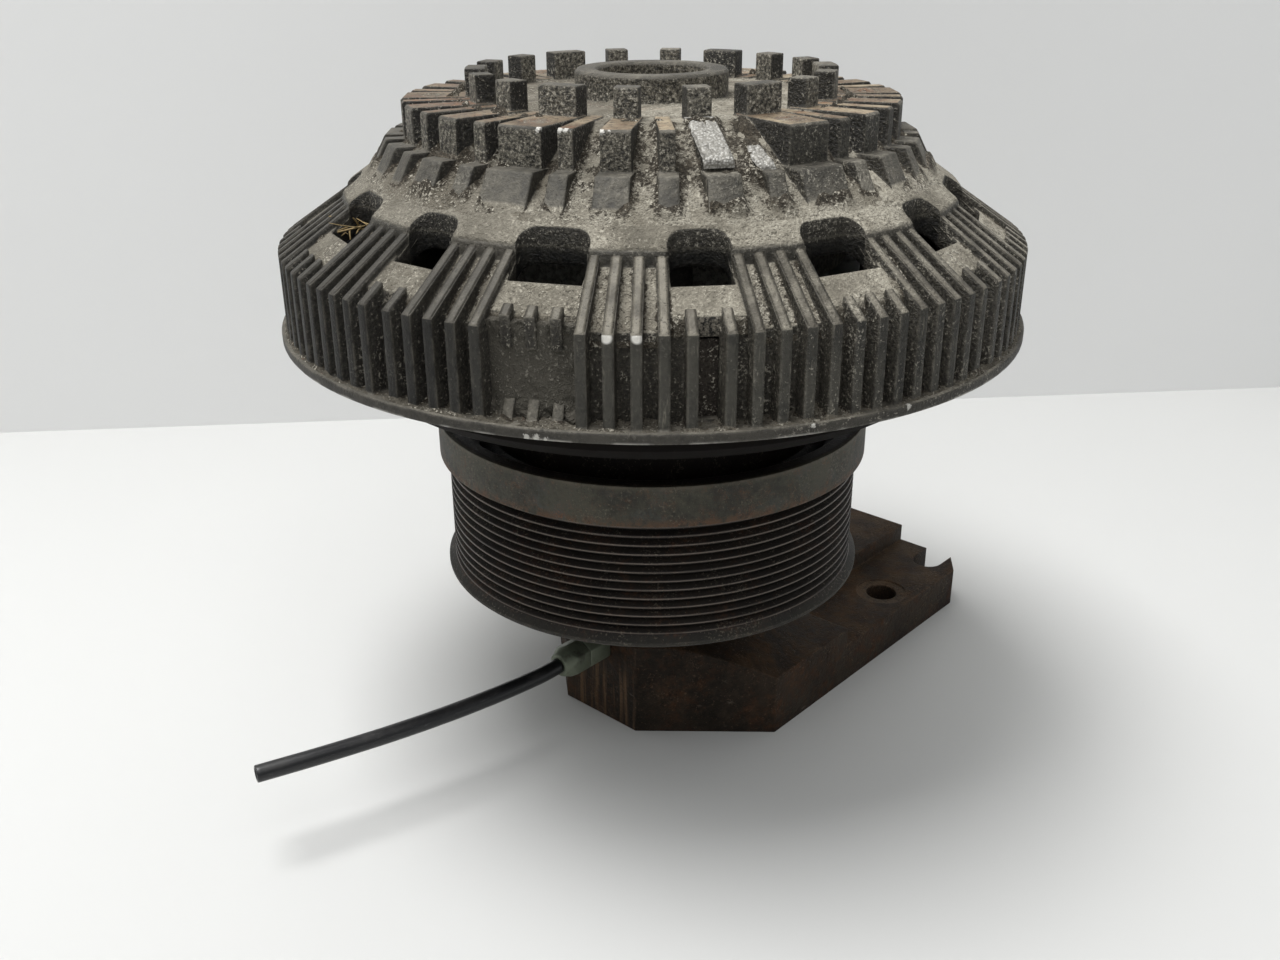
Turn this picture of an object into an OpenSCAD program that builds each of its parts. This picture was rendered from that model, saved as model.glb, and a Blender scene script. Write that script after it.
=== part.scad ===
// Air-operated fan clutch on a journal bracket, millimetres.
// The origin is on the shaft axis at the underside of the bracket, +Z runs up the shaft to the fan side,
// and +X runs along the bracket from its nose to its slotted end.

/* [Bracket] */
// Thickness of the bracket block
bracket_t = 26.6; // [24:0.2:30]
// Thickness of the bolting ledges beside the rib
ledge_t = 18.5; // [14:0.5:20]
// Overall width of the bracket
bracket_w = 128; // [120:1:136]
// Distance from the shaft to the nose end face
nose_x = 33; // [30:1:36]
// Width of the nose end face
nose_w = 40; // [32:1:46]
// Distance from the shaft to the start of the straight sides
side_x = 5; // [0:1:12]
// Distance from the shaft to the riser between block and ledges
step_x = 57; // [50:1:64]
// Distance from the shaft to the slotted end
bracket_end_x = 162.5; // [156:0.5:174]
// Size of the cut corners at the slotted end
corner_cut = 12; // [6:1:14]
// Width of the raised rib between the ledges
rib_w = 54; // [44:1:60]
// Distance from the shaft to the bolt holes
bolt_x = 108.7; // [98:0.1:114]
// Distance between the two bolt holes, and between the two slots
bolt_spacing = 98; // [90:1:102]
// Diameter of the bolt holes and width of the slots
bolt_d = 14; // [10:0.5:16]
// Diameter of the machined spot faces round the bolt holes
spot_d = 23; // [20:0.5:26]
// Depth of the spot faces
spot_depth = 0.6; // [0.2:0.1:1.5]
// Distance from the slot's round end to the bracket end
slot_reach = 11.5; // [8:0.5:18]
// Radius where the conical hub meets the top of the block
hub_foot_r = 64; // [58:1:70]
// Height of the conical hub above the block
hub_cone_h = 16.4; // [10:0.2:22]
// Diameter of the hub column
hub_d = 66; // [60:1:72]
// Height of the hub column above the base
hub_top = 62; // [56:1:66]

/* [Spindle] */
// Diameter of the spindle seat pressed into the bracket
seat_d = 44; // [38:1:48]
// Thickness of bracket left under the spindle
seat_floor = 8; // [5:0.5:14]
// Height of the shoulder below the rear pulley bearing
rear_shoulder = 6; // [4:0.5:7]
// Height of the shoulder below the fan bearing
fan_shoulder = 2; // [1:0.5:3]
// Diameter of the air passage
air_bore_d = 6; // [4:0.5:8]

/* [Pulley] */
// Height of the pulley's rear face above the base
pulley_z = 69; // [67:0.5:74]
// Outer diameter over the groove crests
crest_d = 164; // [150:0.5:168]
// Number of belt grooves
groove_count = 12; // [10:1:12]
// Pitch of the belt grooves
groove_pitch = 3.56; // [3.4:0.01:3.6]
// Depth of the belt grooves
groove_depth = 2.9; // [2:0.1:3.2]
// Width of the flat on each crest
crest_flat = 0.9; // [0.6:0.05:1.1]
// How far the rear flange lip stands out past the crests
flange_reach = 2.8; // [1:0.1:5]
// Thickness of the rear flange lip
flange_t = 3; // [2:0.1:4]
// How far the plain collar at the fan side stands out past the crests
collar_reach = 3.5; // [1:0.1:6]
// Height of the plain collar
collar_h = 15.3; // [12:0.1:20]
// Wall of the belt rim behind the grooves
rim_wall = 7; // [5:0.5:9]
// Thickness of the collar wall round the front recess
collar_wall = 6; // [4:0.5:8]
// Depth of the front recess inside the collar
recess_depth = 12; // [8:0.5:16]
// Width of the front recess between the collar and the neck that carries the magnet rotor
recess_w = 13.5; // [11:0.5:16]
// Diameter of the neck's bore
neck_bore_d = 92; // [90:1:94]

/* [Pulley bearings] */
// Bore of the pulley bearings
pb_bore = 40; // [38:0.5:42]
// Outer diameter of the pulley bearings
pb_od = 80; // [78:0.5:82]
// Width of one pulley bearing
pb_w = 18; // [17:0.5:19]
// Diameter of the pulley bearing balls
pb_ball_d = 11.9; // [11:0.1:12.4]
// Number of balls in a pulley bearing
pb_balls = 9; // [7:1:10]
// Distance from the pulley's rear face to the rear bearing
rear_inset = 13; // [12:0.5:15]
// Length of the spacer between the two pulley bearings
spacer_l = 14; // [10:0.5:15]

/* [Magnet rotor] */
// Thickness of the friction plate of the magnet rotor
plate_t = 12; // [10:0.5:14]
// Wall of the magnet drum
drum_wall = 7; // [5:0.5:8]
// Height of the drum top above the housing lip
drum_rise = 28.2; // [24:0.1:29]
// Radial thickness of the magnets
magnet_t = 6.5; // [4:0.1:7]
// Air gap between the magnets and the iron ring
ring_air_gap = 1.5; // [0.8:0.1:3]
// Thickness of the iron ring in the rim
eddy_t = 7; // [5:0.5:9]
// Axial length of the magnets
magnet_l = 20; // [12:0.5:22]
// Number of magnets
magnet_count = 24; // [16:2:28]
// Share of the pitch that a magnet fills
magnet_fill = 0.72; // [0.5:0.01:0.9]
// Number of rotor screws
screw_count = 8; // [6:1:10]
// Thread diameter of the rotor screws
screw_d = 8; // [6:1:8]

/* [Fan housing] */
// Height of the housing's lip above the base
lip_z = 171.3; // [168:0.1:178]
// Diameter over the fins
fin_d = 275.2; // [270:0.1:280]
// How far the lip stands out past the fins
lip_reach = 2; // [1:0.1:5]
// Thickness of the lip
lip_t = 3.5; // [2.5:0.1:5]
// Depth of the gaps between the fins on the rim
fin_depth = 6.6; // [5:0.1:8]
// Wall of the rim between the fins
rim_t = 3; // [2.5:0.1:4]
// Radial length of the finned slope
slope_run = 19; // [16:0.5:22]
// Height of the rim's shoulder above the lip
shoulder_h = 31.1; // [29:0.1:33]
// Angle of the finned slope from level
slope_angle = 40; // [37:0.5:42]
// Height of the step at the head of the fins
step_h = 4.6; // [3:0.1:6]
// Diameter of the flat front deck
deck_d = 140; // [136:1:144]
// Angle of the front cone from level
cone_angle = 34.6; // [32:0.1:36]
// Wall of the housing under the finned slope
slope_wall = 7; // [5:0.5:8]
// Outer diameter of the centre ring
ring_d = 55.8; // [52:0.2:60]
// Bore of the centre ring
ring_bore_d = 39.8; // [36:0.2:42]
// Height of the centre ring above the deck
ring_h = 9.5; // [6:0.1:12]
// Diameter of the hub round the fan bearing
fan_hub_d = 80; // [78:0.5:84]
// Bore of the air cylinder
cylinder_d = 136; // [132:0.5:138]
// Wall of the air cylinder
cylinder_wall = 6; // [4:0.5:8]
// Thickness of the deck over the air cylinder
deck_t = 9; // [7:0.5:11]

/* [Fins and windows] */
// Thickness of a fin
fin_t = 3.4; // [2.4:0.1:3.8]
// Height of the fins above the slope
fin_h = 2.7; // [1.5:0.1:3.5]
// Height of the fins' knees above the lip's lower face
fin_knee_h = 32.5; // [31:0.1:34]
// Number of repeats of the fin pattern
period_count = 8; // [8:1:8]
// Number of long fins between two windows
long_fins = 4; // [3:1:4]
// Pitch angle of the fins
fin_pitch = 3.36; // [3.2:0.01:3.4]
// Width of the wide windows
wide_window = 23; // [16:0.5:23.5]
// Width of the narrow windows
narrow_window = 19; // [14:0.5:19.5]
// How far the windows reach in past the head of the fins
window_rise = 5.5; // [3:0.5:8]
// Radial length of the pad between a window and its short fins
pad_l = 9.8; // [7:0.1:12]
// How far these pads lie below the tops of the fins
pad_drop = 2.7; // [2:0.1:3.5]
// Corner radius at the inner edge of the windows
window_r = 5; // [2:0.5:7]
// How far the short fins reach in past the rim's shoulder
stub_run = 1.5; // [0.5:0.1:4]
// Width of the open slot between the short fins of a narrow window
rim_slot_w = 6.4; // [4:0.1:6.6]
// How far the foot of that slot reaches in behind the rim
rim_slot_run = 1; // [0.5:0.1:2]

/* [Front ribs and lugs] */
// Width of the wide ribs, which carry the fan bolts
wide_rib = 15.6; // [13:0.1:17]
// Width of the medium ribs
medium_rib = 9.6; // [8:0.1:11]
// Width of the narrow ribs, which have no lug
narrow_rib = 5; // [4:0.1:6]
// How much wider the foot of a rib is than its head
rib_foot_extra = 1.4; // [0.4:0.1:2]
// Height of the rib heads above the deck
head_h = 0.8; // [0.4:0.1:1.5]
// Diameter over the rib heads
head_d = 180; // [176:0.5:184]
// Drop from the rib heads to the rib feet
foot_drop = 12.6; // [10:0.1:13]
// Length of the level part of the rib feet past the heads
foot_l = 6.5; // [4:0.1:8]
// Length over which the rib feet run out in the cone
foot_run = 6; // [4:0.1:8]
// Diameter over the lugs that centre the fan
lug_d = 134.4; // [130:0.2:138]
// Radial thickness of the lugs
lug_t = 7.2; // [5:0.1:9]
// How much narrower a lug is than its rib
lug_trim = 1.6; // [0.4:0.1:2.4]
// Height of the lugs above the deck
lug_h = 10.3; // [8:0.1:13]
// Distance from the outer end of the rib heads to the fan bolts
bolt_inset = 11; // [8:0.5:13]
// Diameter of the fan bolt holes
fan_bolt_d = 8.5; // [6:0.1:9]
// Depth of the fan bolt holes
fan_bolt_depth = 22; // [12:0.5:23]

/* [Fan bearing] */
// Bore of the fan bearing
fb_bore = 30; // [28:0.5:31]
// Outer diameter of the fan bearing
fb_od = 62; // [60:0.5:64]
// Width of the fan bearing
fb_w = 16; // [15:0.5:17]
// Diameter of the fan bearing balls
fb_ball_d = 9; // [8:0.1:9.4]
// Number of balls in the fan bearing
fb_balls = 9; // [7:1:10]
// Height of the fan bearing above the housing lip
fb_rise = 33.7; // [32:0.1:36]

/* [Piston] */
// Gap between friction lining and rotor when the clutch is released
lining_gap = 2.5; // [1.5:0.1:3.5]
// Thickness of the friction lining
lining_t = 4; // [3:0.5:5]
// Radial width of the friction lining
lining_w = 15; // [12:0.5:17]
// Thickness of the piston's flange
flange_plate_t = 17.5; // [16:0.5:18]
// Gap between the piston's flange and the magnet drum
piston_gap = 4; // [2:0.5:6]
// Wall of the piston's sleeve
sleeve_wall = 7; // [5:0.5:8]
// Height of the air space above the released piston
air_space = 6; // [3:0.5:8]
// Distance from the rim of the piston's flange to the guide pins
pin_inset = 11; // [10:0.5:12]
// Number of guide pins and return springs
pin_count = 6; // [3:3:6]
// Diameter of the guide pins
pin_d = 8; // [6:0.5:8]
// Wire diameter of the return springs
spring_wire = 1.6; // [1.2:0.1:1.8]
// Turns of the return springs
spring_turns = 3; // [2:0.5:3.5]

/* [Air line] */
// Width across flats of the tube fitting
fitting_af = 12.7; // [11:0.1:14]
// Length of the fitting body's hexagon
fitting_body_l = 11.5; // [8:0.5:12]
// Length of the fitting nut
fitting_nut_l = 12; // [8:0.5:14]
// Height of the fitting above the base
fitting_z = 35; // [33:0.5:36]
// Diameter of the fitting's thread
fitting_thread_d = 9.5; // [8:0.1:10.5]
// Outer diameter of the air tube
tube_d = 6.35; // [6:0.05:6.5]

/* [Clearances] */
// Radial gap of a press fit
press_gap = 0.01; // [0.01:0.01:0.02]
// Radial gap of a running or sliding fit
run_gap = 0.06; // [0.03:0.01:0.1]
// Gap round parts that never touch
free_gap = 0.3; // [0.2:0.05:0.5]

/* [Hidden] */
$fn = 96;
eps = 0.5;

// Heights along the shaft, from the base up.
rear_bearing_z = pulley_z + rear_inset;
shoulder_r = pb_bore / 2 + rear_shoulder;
spindle_neck_r = fb_bore / 2 + fan_shoulder;
front_bearing_z = rear_bearing_z + pb_w + spacer_l;
front_bearing_top = front_bearing_z + pb_w;
washer_t = 1.5;
nut_t = 9;
spindle_nut_z = front_bearing_top + washer_t;
spindle_nut_top = spindle_nut_z + nut_t;
rotor_drop = 5.3;
rotor_face_z = lip_z - rotor_drop;
neck_top = rotor_face_z - plate_t;
fan_bearing_z = lip_z + fb_rise;
fan_bearing_top = fan_bearing_z + fb_w;
fan_nut_t = 8;
spindle_top = fan_bearing_top + fan_nut_t + 3;

// Pulley profile.
belt_run_in = 4.64;
belt_z = pulley_z + belt_run_in;
belt_top = belt_z + groove_count * groove_pitch;
collar_rise = 1.84;
collar_z = belt_top + collar_rise;
collar_top = collar_z + collar_h;
crest_r = crest_d / 2;
flange_r = crest_r + flange_reach;
collar_r = crest_r + collar_reach;
recess_r = collar_r - collar_wall;
neck_r = recess_r - recess_w;
neck_bore_r = neck_bore_d / 2;
root_r = crest_r - groove_depth;
flank = groove_depth * tan(20);
root_flat = groove_pitch - crest_flat - 2 * flank;
rim_in_r = root_r - rim_wall;
pulley_hub_r = pb_od / 2 + 9;
web_half = 8;
web_z = rear_bearing_z + pb_w + spacer_l / 2;
race_stop = 4;
snap_t = 1.8;
snap_depth = 1.6;
neck_floor_z = front_bearing_top + snap_t + 4;
seal_t = 6;
seal_inset = 2;
shield_t = 2;
shield_inset = 2;

// Bearing proportions.
pb_pitch_r = (pb_bore + pb_od) / 4;
fb_pitch_r = (fb_bore + fb_od) / 4;
land_gap_share = 0.42;
ball_gap = 0.03;
cage_wall_share = 0.24;
cage_h_share = 1.2;

// Rotor, magnets and the ring they run in.
fin_r = fin_d / 2;
lip_r = fin_r + lip_reach;
floor_r = fin_r - fin_depth;
rim_in = floor_r - rim_t;
eddy_in_r = rim_in - eddy_t;
magnet_r = eddy_in_r - ring_air_gap;
drum_r = magnet_r - magnet_t;
drum_top = lip_z + drum_rise;
magnet_z = drum_top - magnet_l - 2;
rotor_bore_r = neck_bore_r - 6;
eddy_z = lip_z + 1.7;
screw_r = (neck_r + neck_bore_r) / 2;
screw_head_r = 0.8 * screw_d;
screw_head_h = screw_d;
screw_reach = 13;
screw_cover = 1;

// Fan housing heights and slopes.
lip_top = lip_z + lip_t;
floor_knee_z = lip_z + shoulder_h;
step_r = floor_r - slope_run;
step_run = 1.6;
slope = tan(slope_angle);
function floor_z(r) = floor_knee_z + (floor_r - r) * slope;
step_top_z = floor_z(step_r) + step_h;
deck_r = deck_d / 2;
cone = tan(cone_angle);
function cone_z(r) = step_top_z + (step_r - r) * cone;
deck_z = cone_z(deck_r);
head_z = deck_z + head_h;
head_r = head_d / 2;
foot_z = head_z - foot_drop;
foot_r = head_r + foot_l;
foot_end_r = foot_r + foot_run;
fan_bolt_r = head_r - bolt_inset;
lug_r = lug_d / 2;
lug_in_r = lug_r - lug_t;
ring_top = deck_z + ring_h;
ceiling_z = deck_z - deck_t;
eddy_top = lip_z + drum_rise;
rim_ledge_z = eddy_top + 1;
hub_r = fan_hub_d / 2;
cyl_r = cylinder_d / 2;
bolt_ring_r = fan_bolt_r + 9;
inner_cone = (floor_z(step_r) - slope_wall - rim_ledge_z) / (rim_in - step_r);
function inner_z(r) = rim_ledge_z + (rim_in - r) * inner_cone;
bolt_ring_z = head_z - fan_bolt_depth - 6;
hub_bottom = fan_bearing_z - 7;
hub_room_r = fb_od / 2 - 5;
hub_room_top = ceiling_z + 2;
cap_h = 6;
cap_wall = 1.5;
cap_floor = 2;
hub_seal_gap = 0.5;

// Piston and its guides, at rest in the released position.
lining_z = rotor_face_z + lining_gap;
piston_z = lining_z + lining_t;
piston_flange_top = piston_z + flange_plate_t;
piston_top = ceiling_z - air_space;
cyl_bottom = piston_flange_top + 6;
crown_t = 8;
sleeve_in_r = hub_r + run_gap;
sleeve_out_r = cyl_r - run_gap;
sleeve_in_z = hub_bottom + 4;
seal_w = 3.2;
seal_ring_w = seal_w - 2 * press_gap;
seal_groove = 2.4;
seal_band_z = piston_top - 5.5;
piston_r = drum_r - drum_wall - piston_gap;
pin_r = piston_r - pin_inset;
boss_r = 8;
boss_z = piston_flange_top + free_gap;
pin_seat = 14;
pin_head_h = 4;
pin_head_r = 6.5;
pin_head_z = piston_z - 2.5;
spring_z = pin_head_z + pin_head_h;
spring_room_r = pin_head_r + 2;
lining_r = pin_r - spring_room_r - 1.5;
lining_in_r = lining_r - lining_w;
spring_room_top = piston_z + 11.5;
spring_r = pin_d / 2 + 0.8 + spring_wire / 2;
spring_gap = 0.1;
spring_sides = 6;
spring_steps = 12;
air_port_d = 5;

// Fin pattern: one period has a narrow window at its start and a wide one in its middle.
period = 360 / period_count;
pattern_a0 = 3.8;
stub_a = (period - (2 * long_fins + 4) * fin_pitch) / 2;
long_a = [for (i = [1:long_fins]) stub_a + i * fin_pitch];
stub_in_r = floor_r - stub_run;
window_in_r = step_r - window_rise;
window_out_r = stub_in_r - pad_l;
fin_knee_z = lip_z + fin_knee_h;
fin_in_r = step_r - 2;
fin_slope = (floor_z(step_r) + fin_h - fin_knee_z) / (fin_r - step_r);
function fin_z(r) = fin_knee_z + (fin_r - r) * fin_slope;
fin_root = 2;
pad_in_r = window_out_r - 2;
pad_mid_r = (pad_in_r + stub_in_r) / 2;
// The three short fins of this wide window are broken away to stumps.
broken_window = 4;
stump_depth = 4.5;
stump_h = 6;

// Ribs go round as wide, narrow, medium, narrow, medium, narrow.
rib_count = 36;
rib_step = 360 / rib_count;
rib_a0 = 14.6;
pin_a0 = rib_a0 + 30;
rib_in_r = lug_in_r - 1;
// Ribs whose heads are broken off on a slope.
broken_ribs = [22, 23];
// How high the break of each stands above the cone at the rib's front face.
broken_rise = [4, 1];
function is_broken(i) = len(search(i, broken_ribs)) > 0;
function rib_width(i) = i % 6 == 0 ? wide_rib : i % 2 == 0 ? medium_rib : narrow_rib;

// Air fitting and tube.
fitting_gap = 0.5;
fitting_thread_l = 9;
fitting_hex_r = fitting_af / 2 / cos(30);
fitting_nut_x = -nose_x - fitting_body_l - fitting_gap;
tube_sides = 10;
tube_bore_share = 0.64;
// Route of the air tube, from the fitting nut to its cut end.
tube_route = [
    [0, 0, 0], [-7.5, 0, 0], [-15, 0.7, 0], [-22.5, 1.7, 0], [-30, 2.9, 0], [-37.5, 4.3, 0],
    [-45, 5.8, 0], [-52.5, 7.4, 0.1], [-60, 9.1, 0.2], [-67.5, 11, 0.3], [-75, 13, 0.4], [-82.5, 15.2, 0.5],
    [-90, 17.5, 0.6], [-97.5, 19.9, 0.7], [-105, 22.4, 0.8], [-113, 25.2, 0.9], [-121.5, 28.2, 1]
];

// A plain ring between two radii, standing on height z.
module ring(outer, inner, z, h) {
    rotate_extrude() translate([inner, z]) square([outer - inner, h]);
}

// A plate with the given radial section, as thick as t, standing in the plane of angle a.
module radial_plate(section, t, a) {
    rotate([0, 0, a]) rotate([90, 0, 0]) linear_extrude(t, center = true) polygon(section);
}

// Copies of a child on a circle in the XY plane.
module around(count, r, a0 = 0) {
    for (i = [0:count - 1]) rotate([0, 0, a0 + i * 360 / count]) translate([r, 0, 0]) children();
}

// A hexagon bar along +X with width across flats af.
module hex_bar(l, r) {
    rotate([0, 90, 0]) cylinder(r = r, h = l, $fn = 6);
}

// Plan of the bracket, symmetric about X.
module bracket_plan() {
    half = bracket_w / 2;
    polygon([
        [-nose_x, -nose_w / 2], [side_x, -half], [bracket_end_x - corner_cut, -half],
        [bracket_end_x, -half + corner_cut * 0.7], [bracket_end_x, half - corner_cut * 0.7],
        [bracket_end_x - corner_cut, half], [side_x, half], [-nose_x, nose_w / 2]
    ]);
}

module bracket_ledges() {
    for (s = [-1, 1])
        translate([step_x, s > 0 ? rib_w / 2 : -bracket_w, ledge_t])
            cube([bracket_end_x, bracket_w - rib_w / 2, bracket_t]);
}

module bracket_fixings() {
    for (s = [-1, 1]) translate([0, s * bolt_spacing / 2, 0]) {
        translate([bolt_x, 0, -eps]) cylinder(d = bolt_d, h = bracket_t);
        translate([bolt_x, 0, ledge_t - spot_depth]) cylinder(d = spot_d, h = bracket_t);
        translate([bracket_end_x - slot_reach, 0, -eps]) cylinder(d = bolt_d, h = bracket_t);
        translate([bracket_end_x - slot_reach, -bolt_d / 2, -eps]) cube([slot_reach * 2, bolt_d, bracket_t]);
    }
}

module mounting_bracket() color([0.24, 0.18, 0.14]) difference() {
    union() {
        linear_extrude(bracket_t) bracket_plan();
        intersection() {
            linear_extrude(hub_top) bracket_plan();
            rotate_extrude() polygon([
                [0, bracket_t / 2], [hub_foot_r, bracket_t / 2], [hub_foot_r, bracket_t],
                [hub_d / 2, bracket_t + hub_cone_h], [hub_d / 2, hub_top], [0, hub_top]
            ]);
        }
    }
    bracket_ledges();
    bracket_fixings();
    translate([0, 0, seat_floor]) cylinder(d = seat_d + 2 * press_gap, h = hub_top);
    translate([-nose_x - eps, 0, fitting_z]) rotate([0, 90, 0]) cylinder(d = air_bore_d, h = nose_x);
    translate([-nose_x - eps, 0, fitting_z]) rotate([0, 90, 0])
        cylinder(d = fitting_thread_d + 2 * press_gap, h = fitting_thread_l + 2 * eps);
}

module spindle() color([0.42, 0.4, 0.38]) difference() {
    rotate_extrude() polygon([
        [0, seat_floor], [seat_d / 2, seat_floor], [seat_d / 2, hub_top], [shoulder_r, hub_top],
        [shoulder_r, rear_bearing_z], [pb_bore / 2 - press_gap, rear_bearing_z],
        [pb_bore / 2 - press_gap, spindle_nut_top], [spindle_neck_r, spindle_nut_top],
        [spindle_neck_r, fan_bearing_z], [fb_bore / 2 - press_gap, fan_bearing_z],
        [fb_bore / 2 - press_gap, spindle_top], [0, spindle_top]
    ]);
    translate([0, 0, fitting_z]) cylinder(d = air_bore_d, h = spindle_top);
    translate([-seat_d, 0, fitting_z]) rotate([0, 90, 0]) cylinder(d = air_bore_d, h = seat_d);
}

module air_fitting_body() color([0.37, 0.39, 0.33]) difference() {
    union() {
        translate([-nose_x - fitting_body_l, 0, fitting_z]) hex_bar(fitting_body_l, fitting_hex_r);
        translate([-nose_x - eps, 0, fitting_z]) rotate([0, 90, 0])
            cylinder(d = fitting_thread_d, h = fitting_thread_l + eps);
    }
    translate([-nose_x - 2 * fitting_body_l, 0, fitting_z]) rotate([0, 90, 0])
        cylinder(d = tube_d * tube_bore_share, h = 4 * fitting_body_l);
}

// A hexagon nut whose outer end is turned down to a round face.
module air_fitting_nut() color([0.37, 0.39, 0.33]) translate([fitting_nut_x, 0, fitting_z]) difference() {
    intersection() {
        translate([-fitting_nut_l, 0, 0]) hex_bar(fitting_nut_l, fitting_hex_r);
        rotate([0, -90, 0]) rotate_extrude() polygon([
            [0, 0], [fitting_hex_r, 0], [fitting_hex_r, fitting_nut_l * 0.55],
            [fitting_af * 0.36, fitting_nut_l], [0, fitting_nut_l]
        ]);
    }
    translate([-2 * fitting_nut_l, 0, 0]) rotate([0, 90, 0])
        cylinder(d = tube_d * tube_bore_share, h = 4 * fitting_nut_l);
}

// Rings of points across a route, one ring per second point.
function heading(p, i) = p[min(i + 1, len(p) - 1)] - p[max(i - 1, 0)];
function sideways(h) = let (s = [-h[1], h[0], 0]) s / norm(s);
function upward(h) = let (u = cross(h, sideways(h))) u / norm(u);
function tube_ring(p, i, r, sides) = let (h = heading(p, i), s = sideways(h), u = upward(h))
    [for (k = [0:sides - 1]) p[i] + r * (cos(k * 360 / sides) * s + sin(k * 360 / sides) * u)];
function skin(rings, sides) = [
    for (j = [0:rings - 2], k = [0:sides - 1])
        let (a = j * sides + k, b = j * sides + (k + 1) % sides)
            each [[a, a + sides, b + sides], [a, b + sides, b]]
];
function caps(rings, sides) = [
    [for (k = [0:sides - 1]) k],
    [for (k = [sides - 1:-1:0]) (rings - 1) * sides + k]
];

module air_tube() color([0.12, 0.12, 0.13]) translate([fitting_nut_x - fitting_nut_l, 0, fitting_z]) {
    stations = [for (i = [0:2:len(tube_route) - 1]) i];
    points = [for (i = stations) each tube_ring(tube_route, i, tube_d / 2, tube_sides)];
    polyhedron(points, concat(skin(len(stations), tube_sides), caps(len(stations), tube_sides)));
}

// Section of a deep-groove race: outer is true for the outer race.
module race(bore, od, w, ball_d, z, outer) {
    pitch_r = (bore + od) / 4;
    land = ball_d / 2 * land_gap_share;
    from = outer ? pitch_r + land : bore / 2;
    to = outer ? od / 2 - press_gap : pitch_r - land;
    translate([0, 0, z]) rotate_extrude() difference() {
        translate([from, 0]) square([to - from, w]);
        translate([pitch_r, w / 2]) circle(r = ball_d / 2 + ball_gap);
    }
}

module balls(count, pitch_r, ball_d, z) {
    around(count, pitch_r) translate([0, 0, z]) sphere(d = ball_d);
}

module ball_cage(count, pitch_r, ball_d, z) {
    wall = ball_d * cage_wall_share;
    h = ball_d * cage_h_share;
    difference() {
        ring(pitch_r + wall / 2, pitch_r - wall / 2, z - h / 2, h);
        around(count, pitch_r) translate([-wall, 0, z]) rotate([0, 90, 0])
            cylinder(d = ball_d + 2 * run_gap, h = 2 * wall);
    }
}

race_colour = [0.55, 0.55, 0.54];
module rear_inner_race() color(race_colour) race(pb_bore, pb_od, pb_w, pb_ball_d, rear_bearing_z, false);
module front_inner_race() color(race_colour) race(pb_bore, pb_od, pb_w, pb_ball_d, front_bearing_z, false);
module fan_inner_race() color(race_colour) race(fb_bore, fb_od, fb_w, fb_ball_d, fan_bearing_z, false);
module rear_outer_race() color(race_colour) race(pb_bore, pb_od, pb_w, pb_ball_d, rear_bearing_z, true);
module front_outer_race() color(race_colour) race(pb_bore, pb_od, pb_w, pb_ball_d, front_bearing_z, true);
module fan_outer_race() color(race_colour) race(fb_bore, fb_od, fb_w, fb_ball_d, fan_bearing_z, true);

ball_colour = [0.75, 0.75, 0.76];
module rear_balls() color(ball_colour) balls(pb_balls, pb_pitch_r, pb_ball_d, rear_bearing_z + pb_w / 2);
module front_balls() color(ball_colour) balls(pb_balls, pb_pitch_r, pb_ball_d, front_bearing_z + pb_w / 2);
module fan_balls() color(ball_colour) balls(fb_balls, fb_pitch_r, fb_ball_d, fan_bearing_z + fb_w / 2);

cage_colour = [0.62, 0.5, 0.28];
module rear_ball_cage() color(cage_colour)
    ball_cage(pb_balls, pb_pitch_r, pb_ball_d, rear_bearing_z + pb_w / 2);
module front_ball_cage() color(cage_colour)
    ball_cage(pb_balls, pb_pitch_r, pb_ball_d, front_bearing_z + pb_w / 2);
module fan_ball_cage() color(cage_colour)
    ball_cage(fb_balls, fb_pitch_r, fb_ball_d, fan_bearing_z + fb_w / 2);

module race_spacer() color([0.45, 0.45, 0.45])
    ring(pb_bore / 2 + 4, pb_bore / 2, rear_bearing_z + pb_w, spacer_l);

module lock_washer() color([0.5, 0.5, 0.5])
    ring(pb_bore / 2 + 6, pb_bore / 2, front_bearing_top, washer_t);

// A round nut with spanner slots in its rim.
module slotted_nut(bore, outer, z, h, slots) {
    slot = outer * 0.18;
    difference() {
        ring(outer, bore, z, h);
        around(slots, outer) translate([-slot, -slot / 2, z - eps]) cube([2 * slot, slot, h + 2 * eps]);
    }
}

module spindle_nut() color([0.4, 0.4, 0.4])
    slotted_nut(pb_bore / 2, pb_bore / 2 + 7, spindle_nut_z, nut_t, 4);
module fan_bearing_nut() color([0.4, 0.4, 0.4])
    slotted_nut(fb_bore / 2, fb_bore / 2 + 5, fan_bearing_top, fan_nut_t, 4);

// Belt groove outline from the rear to the front, as points of radius and height.
function groove(i) = let (z = belt_z + i * groove_pitch) [
    [crest_r, z + crest_flat / 2], [root_r, z + crest_flat / 2 + flank],
    [root_r, z + crest_flat / 2 + flank + root_flat], [crest_r, z + groove_pitch - crest_flat / 2]
];

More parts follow.
